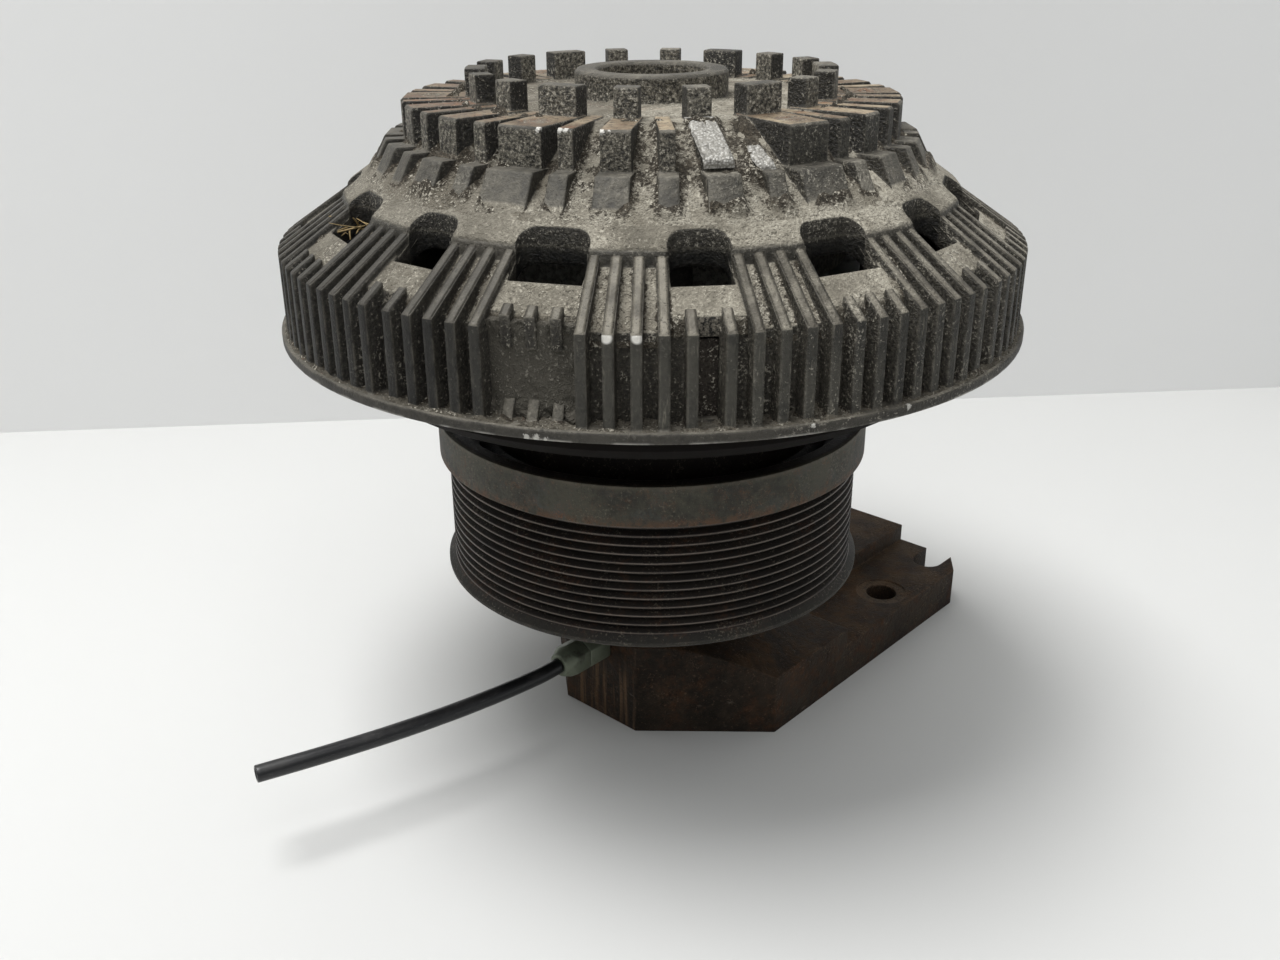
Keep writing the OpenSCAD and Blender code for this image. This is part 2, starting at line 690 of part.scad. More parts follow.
module pulley_blank() {
    recess_z = collar_top - recess_depth;
    rotate_extrude() polygon(concat(
        [
            [rim_in_r, pulley_z], [flange_r - 1, pulley_z], [flange_r, pulley_z + 1],
            [flange_r, pulley_z + flange_t - 1], [flange_r - 1, pulley_z + flange_t], [crest_r, belt_z]
        ],
        [for (i = [0:groove_count - 1]) each groove(i)],
        [
            [crest_r, belt_top], [collar_r, collar_z], [collar_r, collar_top], [recess_r, collar_top],
            [recess_r - 2, recess_z + 3], [recess_r - 6, recess_z], [neck_r + 4, recess_z],
            [neck_r, recess_z + 4], [neck_r, neck_top], [neck_bore_r, neck_top], [neck_bore_r, neck_floor_z],
            [pb_od / 2, neck_floor_z], [pb_od / 2, front_bearing_z],
            [pb_od / 2 - race_stop, front_bearing_z], [pb_od / 2 - race_stop, rear_bearing_z + pb_w],
            [pb_od / 2, rear_bearing_z + pb_w], [pb_od / 2, pulley_z + 3], [pulley_hub_r, pulley_z + 3],
            [pulley_hub_r, web_z - web_half], [rim_in_r, web_z - web_half]
        ]
    ));
}

module pulley() color([0.27, 0.25, 0.23]) difference() {
    pulley_blank();
    ring(pb_od / 2 + snap_depth + press_gap, pb_od / 2 - eps, front_bearing_top, snap_t + press_gap);
    around(screw_count, screw_r) translate([0, 0, neck_top - screw_reach])
        cylinder(d = screw_d + 2 * press_gap, h = 2 * screw_reach);
}

// A spring ring with a gap, held in a groove inside a bore.
module snap_ring(bore_r, z) {
    difference() {
        ring(bore_r + snap_depth, bore_r - 2.4, z, snap_t);
        translate([0, -3, z - eps]) cube([2 * bore_r, 6, snap_t + 2 * eps]);
    }
}

module pulley_snap_ring() color([0.35, 0.35, 0.36]) snap_ring(pb_od / 2, front_bearing_top);
module fan_snap_ring() color([0.35, 0.35, 0.36]) snap_ring(fb_od / 2, fan_bearing_z - snap_t);

module rear_grease_seal() color([0.15, 0.13, 0.12])
    ring(pb_od / 2 - press_gap, shoulder_r + run_gap, rear_bearing_z - seal_inset - seal_t, seal_t);

module front_grease_shield() color([0.4, 0.4, 0.4])
    ring(neck_bore_r - press_gap, spindle_neck_r + free_gap, neck_top - shield_inset - shield_t, shield_t);

module magnet_rotor() color([0.2, 0.19, 0.18]) difference() {
    rotate_extrude() polygon([
        [rotor_bore_r, neck_top], [drum_r - 4, neck_top], [drum_r, neck_top + 4], [drum_r, drum_top],
        [drum_r - drum_wall, drum_top], [drum_r - drum_wall, rotor_face_z + 3],
        [drum_r - drum_wall - 3, rotor_face_z], [rotor_bore_r, rotor_face_z]
    ]);
    around(screw_count, screw_r) {
        translate([0, 0, neck_top - eps]) cylinder(d = screw_d + 2 * press_gap, h = plate_t);
        translate([0, 0, rotor_face_z - screw_head_h - screw_cover])
            cylinder(r = screw_head_r + free_gap, h = 2 * screw_head_h);
    }
}

module rotor_magnets() color([0.3, 0.3, 0.31]) {
    span = 360 / magnet_count * magnet_fill;
    for (i = [0:magnet_count - 1]) rotate([0, 0, i * 360 / magnet_count])
        rotate_extrude(angle = span) translate([drum_r + press_gap, magnet_z])
            square([magnet_t - press_gap, magnet_l]);
}

// Socket head screws that hold the rotor on the pulley's neck.
module rotor_screws() color([0.25, 0.25, 0.26]) {
    seat_z = rotor_face_z - screw_head_h - screw_cover;
    around(screw_count, screw_r) difference() {
        union() {
            translate([0, 0, neck_top - screw_reach + 1])
                cylinder(d = screw_d, h = screw_reach + plate_t / 2 - 1);
            translate([0, 0, seat_z]) cylinder(r = screw_head_r, h = screw_head_h);
        }
        translate([0, 0, seat_z + screw_head_h / 2])
            cylinder(r = screw_head_r * 0.55, h = screw_head_h, $fn = 6);
    }
}

// The turned outline of the housing, without windows, fins and ribs.
module housing_shell() {
    bolt_ring_top = inner_z(bolt_ring_r);
    rotate_extrude() polygon([
        [ring_bore_d / 2, ring_top - 1], [ring_bore_d / 2 + 1, ring_top], [ring_d / 2 - 1, ring_top],
        [ring_d / 2, ring_top - 1], [ring_d / 2, deck_z], [deck_r, deck_z], [step_r, step_top_z],
        [step_r + step_run * 0.7, step_top_z - step_h * 0.3], [step_r + step_run, floor_z(step_r + step_run)],
        [floor_r, floor_knee_z], [floor_r, lip_top], [lip_r, lip_top], [lip_r, lip_z], [rim_in, lip_z],
        [rim_in, rim_ledge_z], [bolt_ring_r, bolt_ring_top], [bolt_ring_r, bolt_ring_z],
        [cyl_r + cylinder_wall, bolt_ring_z], [cyl_r + cylinder_wall, cyl_bottom], [cyl_r, cyl_bottom],
        [cyl_r, ceiling_z], [hub_r, ceiling_z], [hub_r, hub_bottom], [fb_od / 2, hub_bottom],
        [fb_od / 2, fan_bearing_top], [hub_room_r, fan_bearing_top], [hub_room_r, hub_room_top],
        [ring_bore_d / 2, hub_room_top]
    ]);
}

// A window seen along the shaft: its inner corners are round.
module window_plan(w) {
    run = window_out_r - window_in_r;
    translate([window_in_r, 0]) {
        translate([window_r, -w / 2]) square([run - window_r, w]);
        translate([0, -w / 2 + window_r]) square([run, w - 2 * window_r]);
        for (s = [-1, 1]) translate([window_r, s * (w / 2 - window_r)]) circle(r = window_r);
    }
}

module window_cut(w) {
    translate([0, 0, rim_ledge_z]) linear_extrude(step_top_z + 10 - rim_ledge_z) window_plan(w);
}

// The open slot between the short fins of a narrow window: its foot reaches in to the iron ring.
module rim_slot() {
    translate([stub_in_r, -rim_slot_w / 2, lip_top + 1])
        cube([floor_r, rim_slot_w, floor_z(stub_in_r) - lip_top]);
    translate([rim_in - rim_slot_run, -rim_slot_w / 2, lip_top + 1])
        cube([floor_r, rim_slot_w, rim_ledge_z - lip_top - 1]);
}

module windows() {
    for (k = [0:period_count - 1]) rotate([0, 0, pattern_a0 + k * period]) {
        window_cut(narrow_window);
        rotate([0, 0, period / 2]) window_cut(wide_window);
        rim_slot();
    }
}

// Section of a fin that starts at radius from.
function fin_section(from) = [
    [from, fin_z(from)], [fin_r, fin_knee_z], [fin_r, lip_top - eps], [floor_r - fin_root, lip_top - eps],
    [floor_r - fin_root, floor_knee_z - fin_root], [from, floor_z(from) - fin_root]
];

// A raised pad under each window, between the two long fins beside it.
module pads() {
    section = [
        [pad_in_r, fin_z(pad_in_r) - pad_drop], [stub_in_r, fin_z(stub_in_r) - pad_drop],
        [stub_in_r, floor_z(stub_in_r) - fin_root], [pad_in_r, floor_z(pad_in_r) - fin_root]
    ];
    for (k = [0:period_count - 1]) {
        a0 = pattern_a0 + k * period;
        radial_plate(section, 2 * pad_mid_r * sin(stub_a + fin_pitch), a0);
        radial_plate(section, 2 * pad_mid_r * sin(2 * fin_pitch), a0 + period / 2);
    }
}

// Stumps left at the shoulder and at the lip where a fin has broken away.
module fin_stumps(a) {
    tip = floor_r + stump_depth;
    radial_plate([
        [stub_in_r, fin_z(stub_in_r)], [tip - 2, fin_z(tip - 2)], [tip - 3, floor_knee_z - stump_h],
        [floor_r - fin_root, floor_knee_z - stump_h], [stub_in_r, floor_z(stub_in_r) - fin_root]
    ], fin_t, a);
    radial_plate([
        [floor_r - fin_root, lip_top - eps], [tip, lip_top - eps], [floor_r + 1, lip_top + stump_h],
        [floor_r - fin_root, lip_top + stump_h]
    ], fin_t, a);
}

module fins() {
    for (k = [0:period_count - 1]) {
        a0 = pattern_a0 + k * period;
        for (a = long_a, s = [-1, 1]) radial_plate(fin_section(fin_in_r), fin_t, a0 + s * a);
        for (s = [-1, 1]) radial_plate(fin_section(stub_in_r), fin_t, a0 + s * stub_a);
        for (i = [-1:1]) {
            a = a0 + period / 2 + i * fin_pitch;
            if (k == broken_window) fin_stumps(a);
            else radial_plate(fin_section(stub_in_r), fin_t, a);
        }
    }
}

// Head and foot of a front rib, in radius and height.
head_section = [
    [rib_in_r, deck_z - 2], [rib_in_r + 2, head_z], [head_r - 0.8, head_z], [head_r, head_z - 0.8],
    [head_r, foot_z - 1], [deck_r, foot_z - 1]
];
function broken_section(rise) = [
    [rib_in_r, deck_z - 2], [lug_r, deck_z + rise * 0.35 - 1], [head_r - 12, head_z + rise - 7.5],
    [head_r, foot_z + rise], [head_r, foot_z - 1], [deck_r, foot_z - 1]
];
foot_section = [
    [head_r - 4, foot_z], [foot_r, foot_z], [foot_end_r, cone_z(foot_end_r) - 0.6],
    [head_r - 4, cone_z(head_r) - 3]
];

module ribs() {
    for (i = [0:rib_count - 1]) {
        a = rib_a0 + i * rib_step;
        section = is_broken(i) ? broken_section(broken_rise[search(i, broken_ribs)[0]]) : head_section;
        radial_plate(section, rib_width(i), a);
        radial_plate(foot_section, rib_width(i) + rib_foot_extra, a);
    }
}

// A lug's plan: a ring sector with straight sides, so that its outer face centres the fan.
module lug(w) {
    translate([0, 0, deck_z - 1]) linear_extrude(lug_h + 1) intersection() {
        difference() {
            circle(r = lug_r);
            circle(r = lug_in_r);
        }
        translate([lug_in_r / 2, -w / 2]) square([lug_d, w]);
    }
}

module lugs() {
    for (i = [0:2:rib_count - 1]) rotate([0, 0, rib_a0 + i * rib_step]) lug(rib_width(i) - lug_trim);
}

module fan_housing() color([0.29, 0.27, 0.24]) difference() {
    union() {
        difference() {
            union() {
                housing_shell();
                pads();
            }
            windows();
        }
        fins();
        ribs();
        lugs();
        around(pin_count, pin_r, pin_a0) translate([0, 0, boss_z])
            cylinder(r = boss_r, h = inner_z(pin_r - boss_r) + 0.5 - boss_z);
    }
    around(6, fan_bolt_r, rib_a0) translate([0, 0, head_z - fan_bolt_depth])
        cylinder(d = fan_bolt_d, h = 2 * fan_bolt_depth);
    around(pin_count, pin_r, pin_a0) translate([0, 0, boss_z - eps])
        cylinder(d = pin_d + 2 * press_gap, h = pin_seat + eps);
    around(3, 0, rib_a0) translate([hub_room_r - 2, 0, ceiling_z - air_space / 2]) rotate([0, 90, 0])
        cylinder(d = air_port_d, h = hub_r - hub_room_r + 4);
    translate([0, 0, fan_bearing_z - snap_t - press_gap])
        ring(fb_od / 2 + snap_depth + press_gap, fb_od / 2 - eps, 0, snap_t + press_gap);
}

module eddy_ring() color([0.35, 0.24, 0.18]) ring(rim_in - press_gap, eddy_in_r, eddy_z, eddy_top - eddy_z);

module hub_seal() color([0.15, 0.13, 0.12])
    ring(fb_od / 2 - press_gap, spindle_neck_r + run_gap, hub_bottom + hub_seal_gap,
        fan_bearing_z - snap_t - hub_bottom - 2 * hub_seal_gap);

// A pressed cup that closes the bore of the centre ring.
module dust_cap() color([0.4, 0.37, 0.33]) {
    outer = ring_bore_d / 2 - press_gap;
    base = hub_room_top + 1;
    rotate_extrude() polygon([
        [0, base], [outer, base], [outer, base + cap_h], [outer - cap_wall, base + cap_h],
        [outer - cap_wall, base + cap_floor], [0, base + cap_floor]
    ]);
}

module guide_pins() color([0.5, 0.5, 0.5]) around(pin_count, pin_r, pin_a0) {
    translate([0, 0, pin_head_z]) cylinder(r = pin_head_r, h = pin_head_h);
    translate([0, 0, spring_z - eps]) cylinder(d = pin_d, h = boss_z + pin_seat - 1 - spring_z + eps);
}

// A coil spring between the pin head and the piston.
function coil(h) = [
    for (i = [0:spring_turns * spring_steps])
        let (a = i * 360 / spring_steps, rise = (h - spring_wire) / (spring_turns * spring_steps))
        [spring_r * cos(a), spring_r * sin(a), spring_wire / 2 + i * rise]
];

module return_springs() color([0.45, 0.45, 0.47]) around(pin_count, pin_r, pin_a0) {
    path = coil(spring_room_top - spring_z - 2 * spring_gap);
    points = [for (i = [0:len(path) - 1]) each tube_ring(path, i, spring_wire / 2, spring_sides)];
    translate([0, 0, spring_z + spring_gap])
        polyhedron(points, concat(skin(len(path), spring_sides), caps(len(path), spring_sides)));
}

module piston() color([0.45, 0.45, 0.44]) difference() {
    rotate_extrude() polygon([
        [sleeve_in_r, piston_top], [sleeve_out_r, piston_top], [sleeve_out_r, piston_flange_top],
        [piston_r, piston_flange_top], [piston_r, piston_z], [sleeve_out_r - sleeve_wall, piston_z],
        [sleeve_out_r - sleeve_wall, piston_top - crown_t], [sleeve_in_r + sleeve_wall, piston_top - crown_t],
        [sleeve_in_r + sleeve_wall, sleeve_in_z], [sleeve_in_r, sleeve_in_z]
    ]);
    ring(sleeve_out_r + eps, sleeve_out_r - seal_groove, seal_band_z, seal_w);
    ring(sleeve_in_r + seal_groove, sleeve_in_r - eps, seal_band_z, seal_w);
    around(pin_count, pin_r, pin_a0) {
        translate([0, 0, piston_z - eps]) cylinder(r = spring_room_r, h = spring_room_top - piston_z + eps);
        translate([0, 0, piston_z]) cylinder(r = pin_d / 2 + run_gap, h = flange_plate_t + eps);
    }
}

module friction_lining() color([0.33, 0.27, 0.2]) ring(lining_r, lining_in_r, lining_z, lining_t);

module piston_outer_seal() color([0.1, 0.1, 0.1])
    ring(cyl_r - run_gap, sleeve_out_r - seal_groove + press_gap, seal_band_z + press_gap, seal_ring_w);

module piston_inner_seal() color([0.1, 0.1, 0.1])
    ring(sleeve_in_r + seal_groove - press_gap, hub_r + run_gap, seal_band_z + press_gap, seal_ring_w);

mounting_bracket();
spindle();
air_fitting_body();
air_fitting_nut();
air_tube();
rear_inner_race();
front_inner_race();
race_spacer();
lock_washer();
spindle_nut();
fan_inner_race();
fan_bearing_nut();
pulley();
rear_outer_race();
front_outer_race();
pulley_snap_ring();
rear_grease_seal();
front_grease_shield();
magnet_rotor();
rotor_magnets();
rotor_screws();
fan_housing();
eddy_ring();
fan_outer_race();
fan_snap_ring();
hub_seal();
dust_cap();
guide_pins();
return_springs();
piston();
friction_lining();
piston_outer_seal();
piston_inner_seal();
rear_balls();
rear_ball_cage();
front_balls();
front_ball_cage();
fan_balls();
fan_ball_cage();
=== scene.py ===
"""Looks of an air-operated fan clutch on its journal bracket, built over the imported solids."""

import logging
import math
from abc import ABC, abstractmethod
from collections.abc import Callable, Sequence
from dataclasses import dataclass, field
from enum import Enum
from functools import reduce

import bpy
import numpy as np
from mathutils import Matrix, Vector


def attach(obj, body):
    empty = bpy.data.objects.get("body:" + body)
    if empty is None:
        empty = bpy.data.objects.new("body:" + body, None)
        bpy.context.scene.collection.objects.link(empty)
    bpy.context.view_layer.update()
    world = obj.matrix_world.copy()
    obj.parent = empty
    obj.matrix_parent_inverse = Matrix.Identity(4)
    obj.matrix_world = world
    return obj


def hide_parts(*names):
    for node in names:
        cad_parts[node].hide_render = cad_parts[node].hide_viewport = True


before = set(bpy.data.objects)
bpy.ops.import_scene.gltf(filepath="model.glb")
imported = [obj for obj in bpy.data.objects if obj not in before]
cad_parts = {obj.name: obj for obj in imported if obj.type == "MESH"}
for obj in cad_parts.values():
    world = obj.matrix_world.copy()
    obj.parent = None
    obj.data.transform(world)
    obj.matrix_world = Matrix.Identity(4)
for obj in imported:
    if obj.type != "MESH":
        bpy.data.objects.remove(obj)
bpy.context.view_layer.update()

MM = 0.001
TINY = 1e-5
# The side of the shaft that caught most dust, and the side that painted light makes lighter
DUSTY_AND_LIT_SIDE = (0.67, -0.74)
LOG = logging.getLogger("fan_clutch")

Point = tuple[float, float, float]
Fade = tuple[float, float]
Rgb = tuple[int, int, int]
Socket = bpy.types.NodeSocket
Value = Socket | float | int | tuple


class Body(Enum):
    """Moving bodies of the clutch that new pieces ride on."""

    BRACKET = "bracket"
    FAN = "fan_hub"


def paint(red: int, green: int, blue: int) -> tuple[float, float, float, float]:
    """A display colour from 0 to 255 a channel as a linear shader colour.

    Args:
        red: Red channel.
        green: Green channel.
        blue: Blue channel.

    Returns:
        The linear colour with full alpha.
    """
    share = np.array([red, green, blue]) / 255.0
    linear = np.where(share <= 0.04045, share / 12.92, ((share + 0.055) / 1.055) ** 2.4)
    return (float(linear[0]), float(linear[1]), float(linear[2]), 1.0)


class Tone(Enum):
    """Single tones of dirt, wear, bare metal and painted shade, as display colours."""

    SCRAPE = (128, 123, 110)
    CREST_SHADED = (62, 59, 53)
    OILY_LUG = (26, 25, 22)
    CRUST_SIDE_SHADE = (23, 21, 18)
    POWDER_HOLLOW = (94, 88, 77)
    POWDER_SHADED = (70, 66, 58)
    PAD_SHADED = (84, 72, 60)
    PAD_STAIN = (42, 36, 29)
    PALE_GRAIN = (192, 186, 171)
    DARK_GRAIN = (40, 36, 30)
    CRUST_SPECK = (184, 178, 164)
    WINDOW_LEDGE = (84, 80, 71)
    CASTING_WORN = (136, 131, 120)
    BARE_METAL = (222, 219, 211)
    DIRT_PALE = (196, 190, 175)
    DIRT_DARK = (42, 38, 32)
    COLLAR_BLOOM = (68, 72, 68)
    COLLAR_RUST = (88, 64, 45)
    COLLAR_BRIM = (98, 90, 77)
    GROOVE_CREST = (116, 106, 98)
    PULLEY_WORN = (122, 117, 106)
    PULLEY_PALE = (140, 130, 114)
    PULLEY_DARK = (34, 28, 24)
    NOSE_STREAK = (118, 92, 68)
    BOLT_RING = (112, 94, 76)
    BRACKET_WORN = (118, 95, 76)
    SCUFF = (150, 138, 124)
    BRACKET_PALE = (124, 102, 82)
    BRACKET_DARK = (27, 20, 16)
    OILY_GRIME = (46, 41, 35)
    SCRATCH = (92, 92, 92)
    THIN_DUST = (120, 116, 108)
    FRACTURE_DIRT = (104, 101, 95)

    @property
    def colour(self) -> tuple[float, float, float, float]:
        """The tone as a linear shader colour."""
        return paint(*self.value)


class Graph:
    """Short hand for wiring one shader node tree."""

    def __init__(self, tree: bpy.types.NodeTree) -> None:
        """Keeps the tree that the nodes go into."""
        self.tree = tree

    def node(self, kind: str, **properties: object) -> bpy.types.Node:
        """Adds a node.

        Args:
            kind: Node type name.
            **properties: Values for the node's own properties.

        Returns:
            The new node.
        """
        made = self.tree.nodes.new(kind)
        for name, value in properties.items():
            setattr(made, name, value)
        return made

    def put(self, socket: Socket, value: Value) -> None:
        """Links a socket to another, or sets its own value."""
        if isinstance(value, Socket):
            self.tree.links.new(value, socket)
        else:
            socket.default_value = value

    def math(self, operation: str, first: Value, second: Value = 0.0, clamp: bool = False) -> Socket:
        """One arithmetic step on two numbers.

        Args:
            operation: Name of the operation.
            first: First number.
            second: Second number.
            clamp: Keeps the result from 0 to 1.

        Returns:
            The result.
        """
        made = self.node("ShaderNodeMath", operation=operation, use_clamp=clamp)
        self.put(made.inputs[0], first)
        self.put(made.inputs[1], second)
        return made.outputs[0]

    def fold(self, operation: str, values: Sequence[Value]) -> Socket:
        """Takes two or more numbers together, one after another.

        Args:
            operation: Name of the arithmetic step.
            values: The numbers.

        Returns:
            The result.
        """
        return reduce(lambda so_far, value: self.math(operation, so_far, value), values)

    def times(self, *factors: Value) -> Socket:
        """The product of two or more numbers."""
        return self.fold("MULTIPLY", factors)

    def plus(self, *terms: Value) -> Socket:
        """The sum of two or more numbers."""
        return self.fold("ADD", terms)

    def most(self, *values: Value) -> Socket:
        """The largest of two or more numbers."""
        return self.fold("MAXIMUM", values)

    def flip(self, mask: Value) -> Socket:
        """One less a mask."""
        return self.math("SUBTRACT", 1.0, mask)

    def rise(self, value: Value, start: float, end: float) -> Socket:
        """A soft step from 0 at start to 1 at end, which may also be the lower of the two.

        Args:
            value: Number to grade.
            start: Where the step begins.
            end: Where it is complete.

        Returns:
            The graded mask.
        """
        made = self.node("ShaderNodeMapRange", interpolation_type="SMOOTHSTEP", clamp=True)
        self.put(made.inputs[0], value)
        low, high = (start, end) if start < end else (end, start)
        made.inputs[1].default_value, made.inputs[2].default_value = low, high
        made.inputs[3].default_value, made.inputs[4].default_value = (0.0, 1.0) if start < end else (1.0, 0.0)
        return made.outputs[0]

    def band(self, value: Value, low: float, high: float, soft: float) -> Socket:
        """A mask that is 1 between two numbers and fades over a soft width outside them.

        Args:
            value: Number to grade.
            low: Lower end of the band.
            high: Upper end of the band.
            soft: Width of the fade.

        Returns:
            The mask.
        """
        return self.times(self.rise(value, low - soft, low), self.rise(value, high + soft, high))

    def mix(self, share: Value, first: Value, second: Value) -> Socket:
        """Lays the second colour over the first.

        Args:
            share: How much of the second colour shows.
            first: Colour below.
            second: Colour above.

        Returns:
            The mixed colour.
        """
        made = self.node("ShaderNodeMix", data_type="RGBA", clamp_factor=True)
        self.put(made.inputs[0], share)
        self.put(made.inputs[6], first)
        self.put(made.inputs[7], second)
        return made.outputs[2]

    def layers(self, base: Value, coats: Sequence[tuple[Value, float, Value | Tone]]) -> Socket:
        """Lays tones over a base, one after another.

        Args:
            base: Colour below.
            coats: For each coat its mask, how strongly it covers, and its tone.

        Returns:
            The colour with all coats on it.
        """
        for mask, strength, tone in coats:
            share = mask if strength == 1.0 else self.times(mask, strength)
            base = self.mix(share, base, tone.colour if isinstance(tone, Tone) else tone)
        return base

    def lerp(self, share: Value, first: Value, second: Value) -> Socket:
        """A number that goes from the first to the second with a share."""
        made = self.node("ShaderNodeMix", data_type="FLOAT", clamp_factor=True)
        self.put(made.inputs[0], share)
        self.put(made.inputs[2], first)
        self.put(made.inputs[3], second)
        return made.outputs[0]

    def noise(
        self, place: Value, scale: Value, detail: float = 3.0, rough: float = 0.55, swirl: float = 0.0
    ) -> Socket:
        """Cloudy noise.

        Args:
            place: Where it is read.
            scale: Clouds in a metre.
            detail: Finer layers on top.
            rough: How strong those layers are.
            swirl: How much the clouds are drawn out.

        Returns:
            The noise, about 0.5 on average.
        """
        made = self.node("ShaderNodeTexNoise")
        self.put(made.inputs["Vector"], place)
        self.put(made.inputs["Scale"], scale)
        made.inputs["Detail"].default_value = detail
        made.inputs["Roughness"].default_value = rough
        made.inputs["Distortion"].default_value = swirl
        return made.outputs["Fac"]

    def cells(self, place: Value, scale: Value) -> Socket:
        """Distance to the nearest of many scattered points, in cell widths.

        Args:
            place: Where it is read.
            scale: Points in a metre.

        Returns:
            The distance.
        """
        made = self.node("ShaderNodeTexVoronoi")
        self.put(made.inputs["Vector"], place)
        self.put(made.inputs["Scale"], scale)
        return made.outputs["Distance"]

    def stretch(self, place: Value, scale: Point) -> Socket:
        """Object coordinates drawn out along the axes.

        Args:
            place: Coordinates.
            scale: Factor along each axis.

        Returns:
            The new coordinates.
        """
        made = self.node("ShaderNodeMapping")
        self.put(made.inputs["Vector"], place)
        made.inputs["Scale"].default_value = scale
        return made.outputs["Vector"]

    def split(self, place: Value) -> tuple[Socket, Socket, Socket]:
        """The three parts of a vector."""
        made = self.node("ShaderNodeSeparateXYZ")
        self.put(made.inputs[0], place)
        return made.outputs[0], made.outputs[1], made.outputs[2]

    def near(self, place: Value, point: Point, reach: float, ragged: Value = 0.0) -> Socket:
        """A spot round a point.

        Args:
            place: Coordinates in metres.
            point: Middle of the spot in metres.
            reach: Radius of the spot in metres.
            ragged: Extra distance in metres, for an uneven outline.

        Returns:
            A mask that is 1 inside the spot.
        """
        made = self.node("ShaderNodeVectorMath", operation="DISTANCE")
        self.put(made.inputs[0], place)
        made.inputs[1].default_value = point
        return self.rise(self.plus(made.outputs["Value"], ragged), reach, reach * 0.55)


class Span(Enum):
    """Pairs of tones that a mask goes between: the first at 0 and the second at 1."""

    RUST = ((74, 47, 33), (126, 80, 50))
    CASTING = ((52, 50, 44), (80, 76, 68))
    FIN_SHADED = ((17, 16, 14), (27, 26, 23))
    FIN_LIT = ((34, 33, 29), (62, 60, 53))
    FIN_SOOT_AND_SHADE = ((28, 25, 21), (62, 57, 49))
    CREST = ((94, 89, 79), (146, 140, 126))
    RIB_FOOT = ((52, 50, 45), (72, 69, 62))
    CRUST = ((34, 32, 28), (116, 111, 99))
    CRUST_SHADED = ((30, 29, 26), (58, 56, 50))
    LIP = ((34, 32, 28), (58, 55, 49))
    GRIME_SHADE_ON_SHADED_SIDE = ((21, 19, 16), (52, 49, 43))
    GRIME_SHADE_ON_LIT_SIDE = ((30, 28, 24), (74, 70, 61))
    SLOT_BLOCK = ((28, 26, 23), (126, 120, 108))
    CYLINDER = ((128, 124, 116), (178, 174, 166))
    POWDER = ((140, 134, 120), (182, 176, 161))
    PAD = ((114, 97, 76), (178, 162, 135))
    WINDOW_DEEP_SHADE = ((19, 18, 16), (44, 42, 37))
    DIRT_SOOT_AND_SHADE = ((30, 26, 22), (80, 72, 60))
    PULLEY = ((31, 28, 24), (50, 45, 39))
    GROOVE = ((23, 19, 17), (38, 33, 29))
    COLLAR = ((46, 45, 37), (73, 71, 59))
    FLANGE = ((33, 32, 27), (50, 48, 42))
    RECESS = ((14, 11, 9), (38, 29, 22))
    BRACKET = ((32, 27, 22), (56, 47, 38))
    BRACKET_TOP = ((37, 28, 20), (80, 60, 39))
    FRACTURE = ((180, 178, 172), (144, 141, 134))
    STRAW = ((112, 92, 58), (196, 172, 122))

    def over(self, g: Graph, share: Value) -> Socket:
        """The tone at a share of the way from the first to the second."""
        first, second = self.value
        return g.mix(share, paint(*first), paint(*second))


@dataclass(frozen=True)
class Group:
    """One shared effect: a shader node group with named inputs and outputs."""

    name: str
    inputs: dict[str, tuple[str, object]]
    outputs: dict[str, str]
    wire: Callable[[Graph, dict[str, Socket]], dict[str, Socket]]

    def tree(self) -> bpy.types.NodeTree:
        """The node group, built on its first use."""
        found = bpy.data.node_groups.get(self.name)
        if found is not None:
            return found
        made = bpy.data.node_groups.new(self.name, "ShaderNodeTree")
        for label, (kind, value) in self.inputs.items():
            socket = made.interface.new_socket(label, in_out="INPUT", socket_type=kind)
            if value is not None:
                socket.default_value = value
        for label, kind in self.outputs.items():
            made.interface.new_socket(label, in_out="OUTPUT", socket_type=kind)
        graph = Graph(made)
        start = graph.node("NodeGroupInput")
        end = graph.node("NodeGroupOutput")
        results = self.wire(graph, {label: start.outputs[label] for label in self.inputs})
        for label, socket in results.items():
            graph.put(end.inputs[label], socket)
        return made

    def use(self, graph: Graph, **values: Value) -> dict[str, Socket]:
        """Places the effect in a material.

        Args:
            graph: Tree of the material.
            **values: Values or links for the inputs.

        Returns:
            The outputs by name.
        """
        made = graph.node("ShaderNodeGroup")
        made.node_tree = self.tree()
        for label, value in values.items():
            graph.put(made.inputs[label], value)
        return {label: made.outputs[label] for label in self.outputs}


def wire_turned(g: Graph, at: dict[str, Socket]) -> dict[str, Socket]:
    """Radius and height in millimetres, how far a face looks up and outward, and the side of the shaft.

    The side goes from -1 to 1 round the shaft: the cosine of the angle from the direction that caught
    most dust, which is also the side that painted light makes lighter.

    Args:
        g: Tree of the group.
        at: Inputs.

    Returns:
        Outputs by name.
    """
    x, y, z = g.split(at["Place"])
    nx, ny, nz = g.split(at["Facing"])
    radius = g.math("SQRT", g.plus(g.times(x, x), g.times(y, y)))
    outward = g.math("DIVIDE", g.plus(g.times(x, nx), g.times(y, ny)), g.most(radius, TINY))
    side = g.math(
        "DIVIDE", g.plus(g.times(x, DUSTY_AND_LIT_SIDE[0]), g.times(y, DUSTY_AND_LIT_SIDE[1])), g.most(radius, TINY)
    )
    return {
        "Radius": g.times(radius, 1000.0),
        "Height": g.times(z, 1000.0),
        "Up": nz,
        "Outward": outward,
        "Side": side,
    }


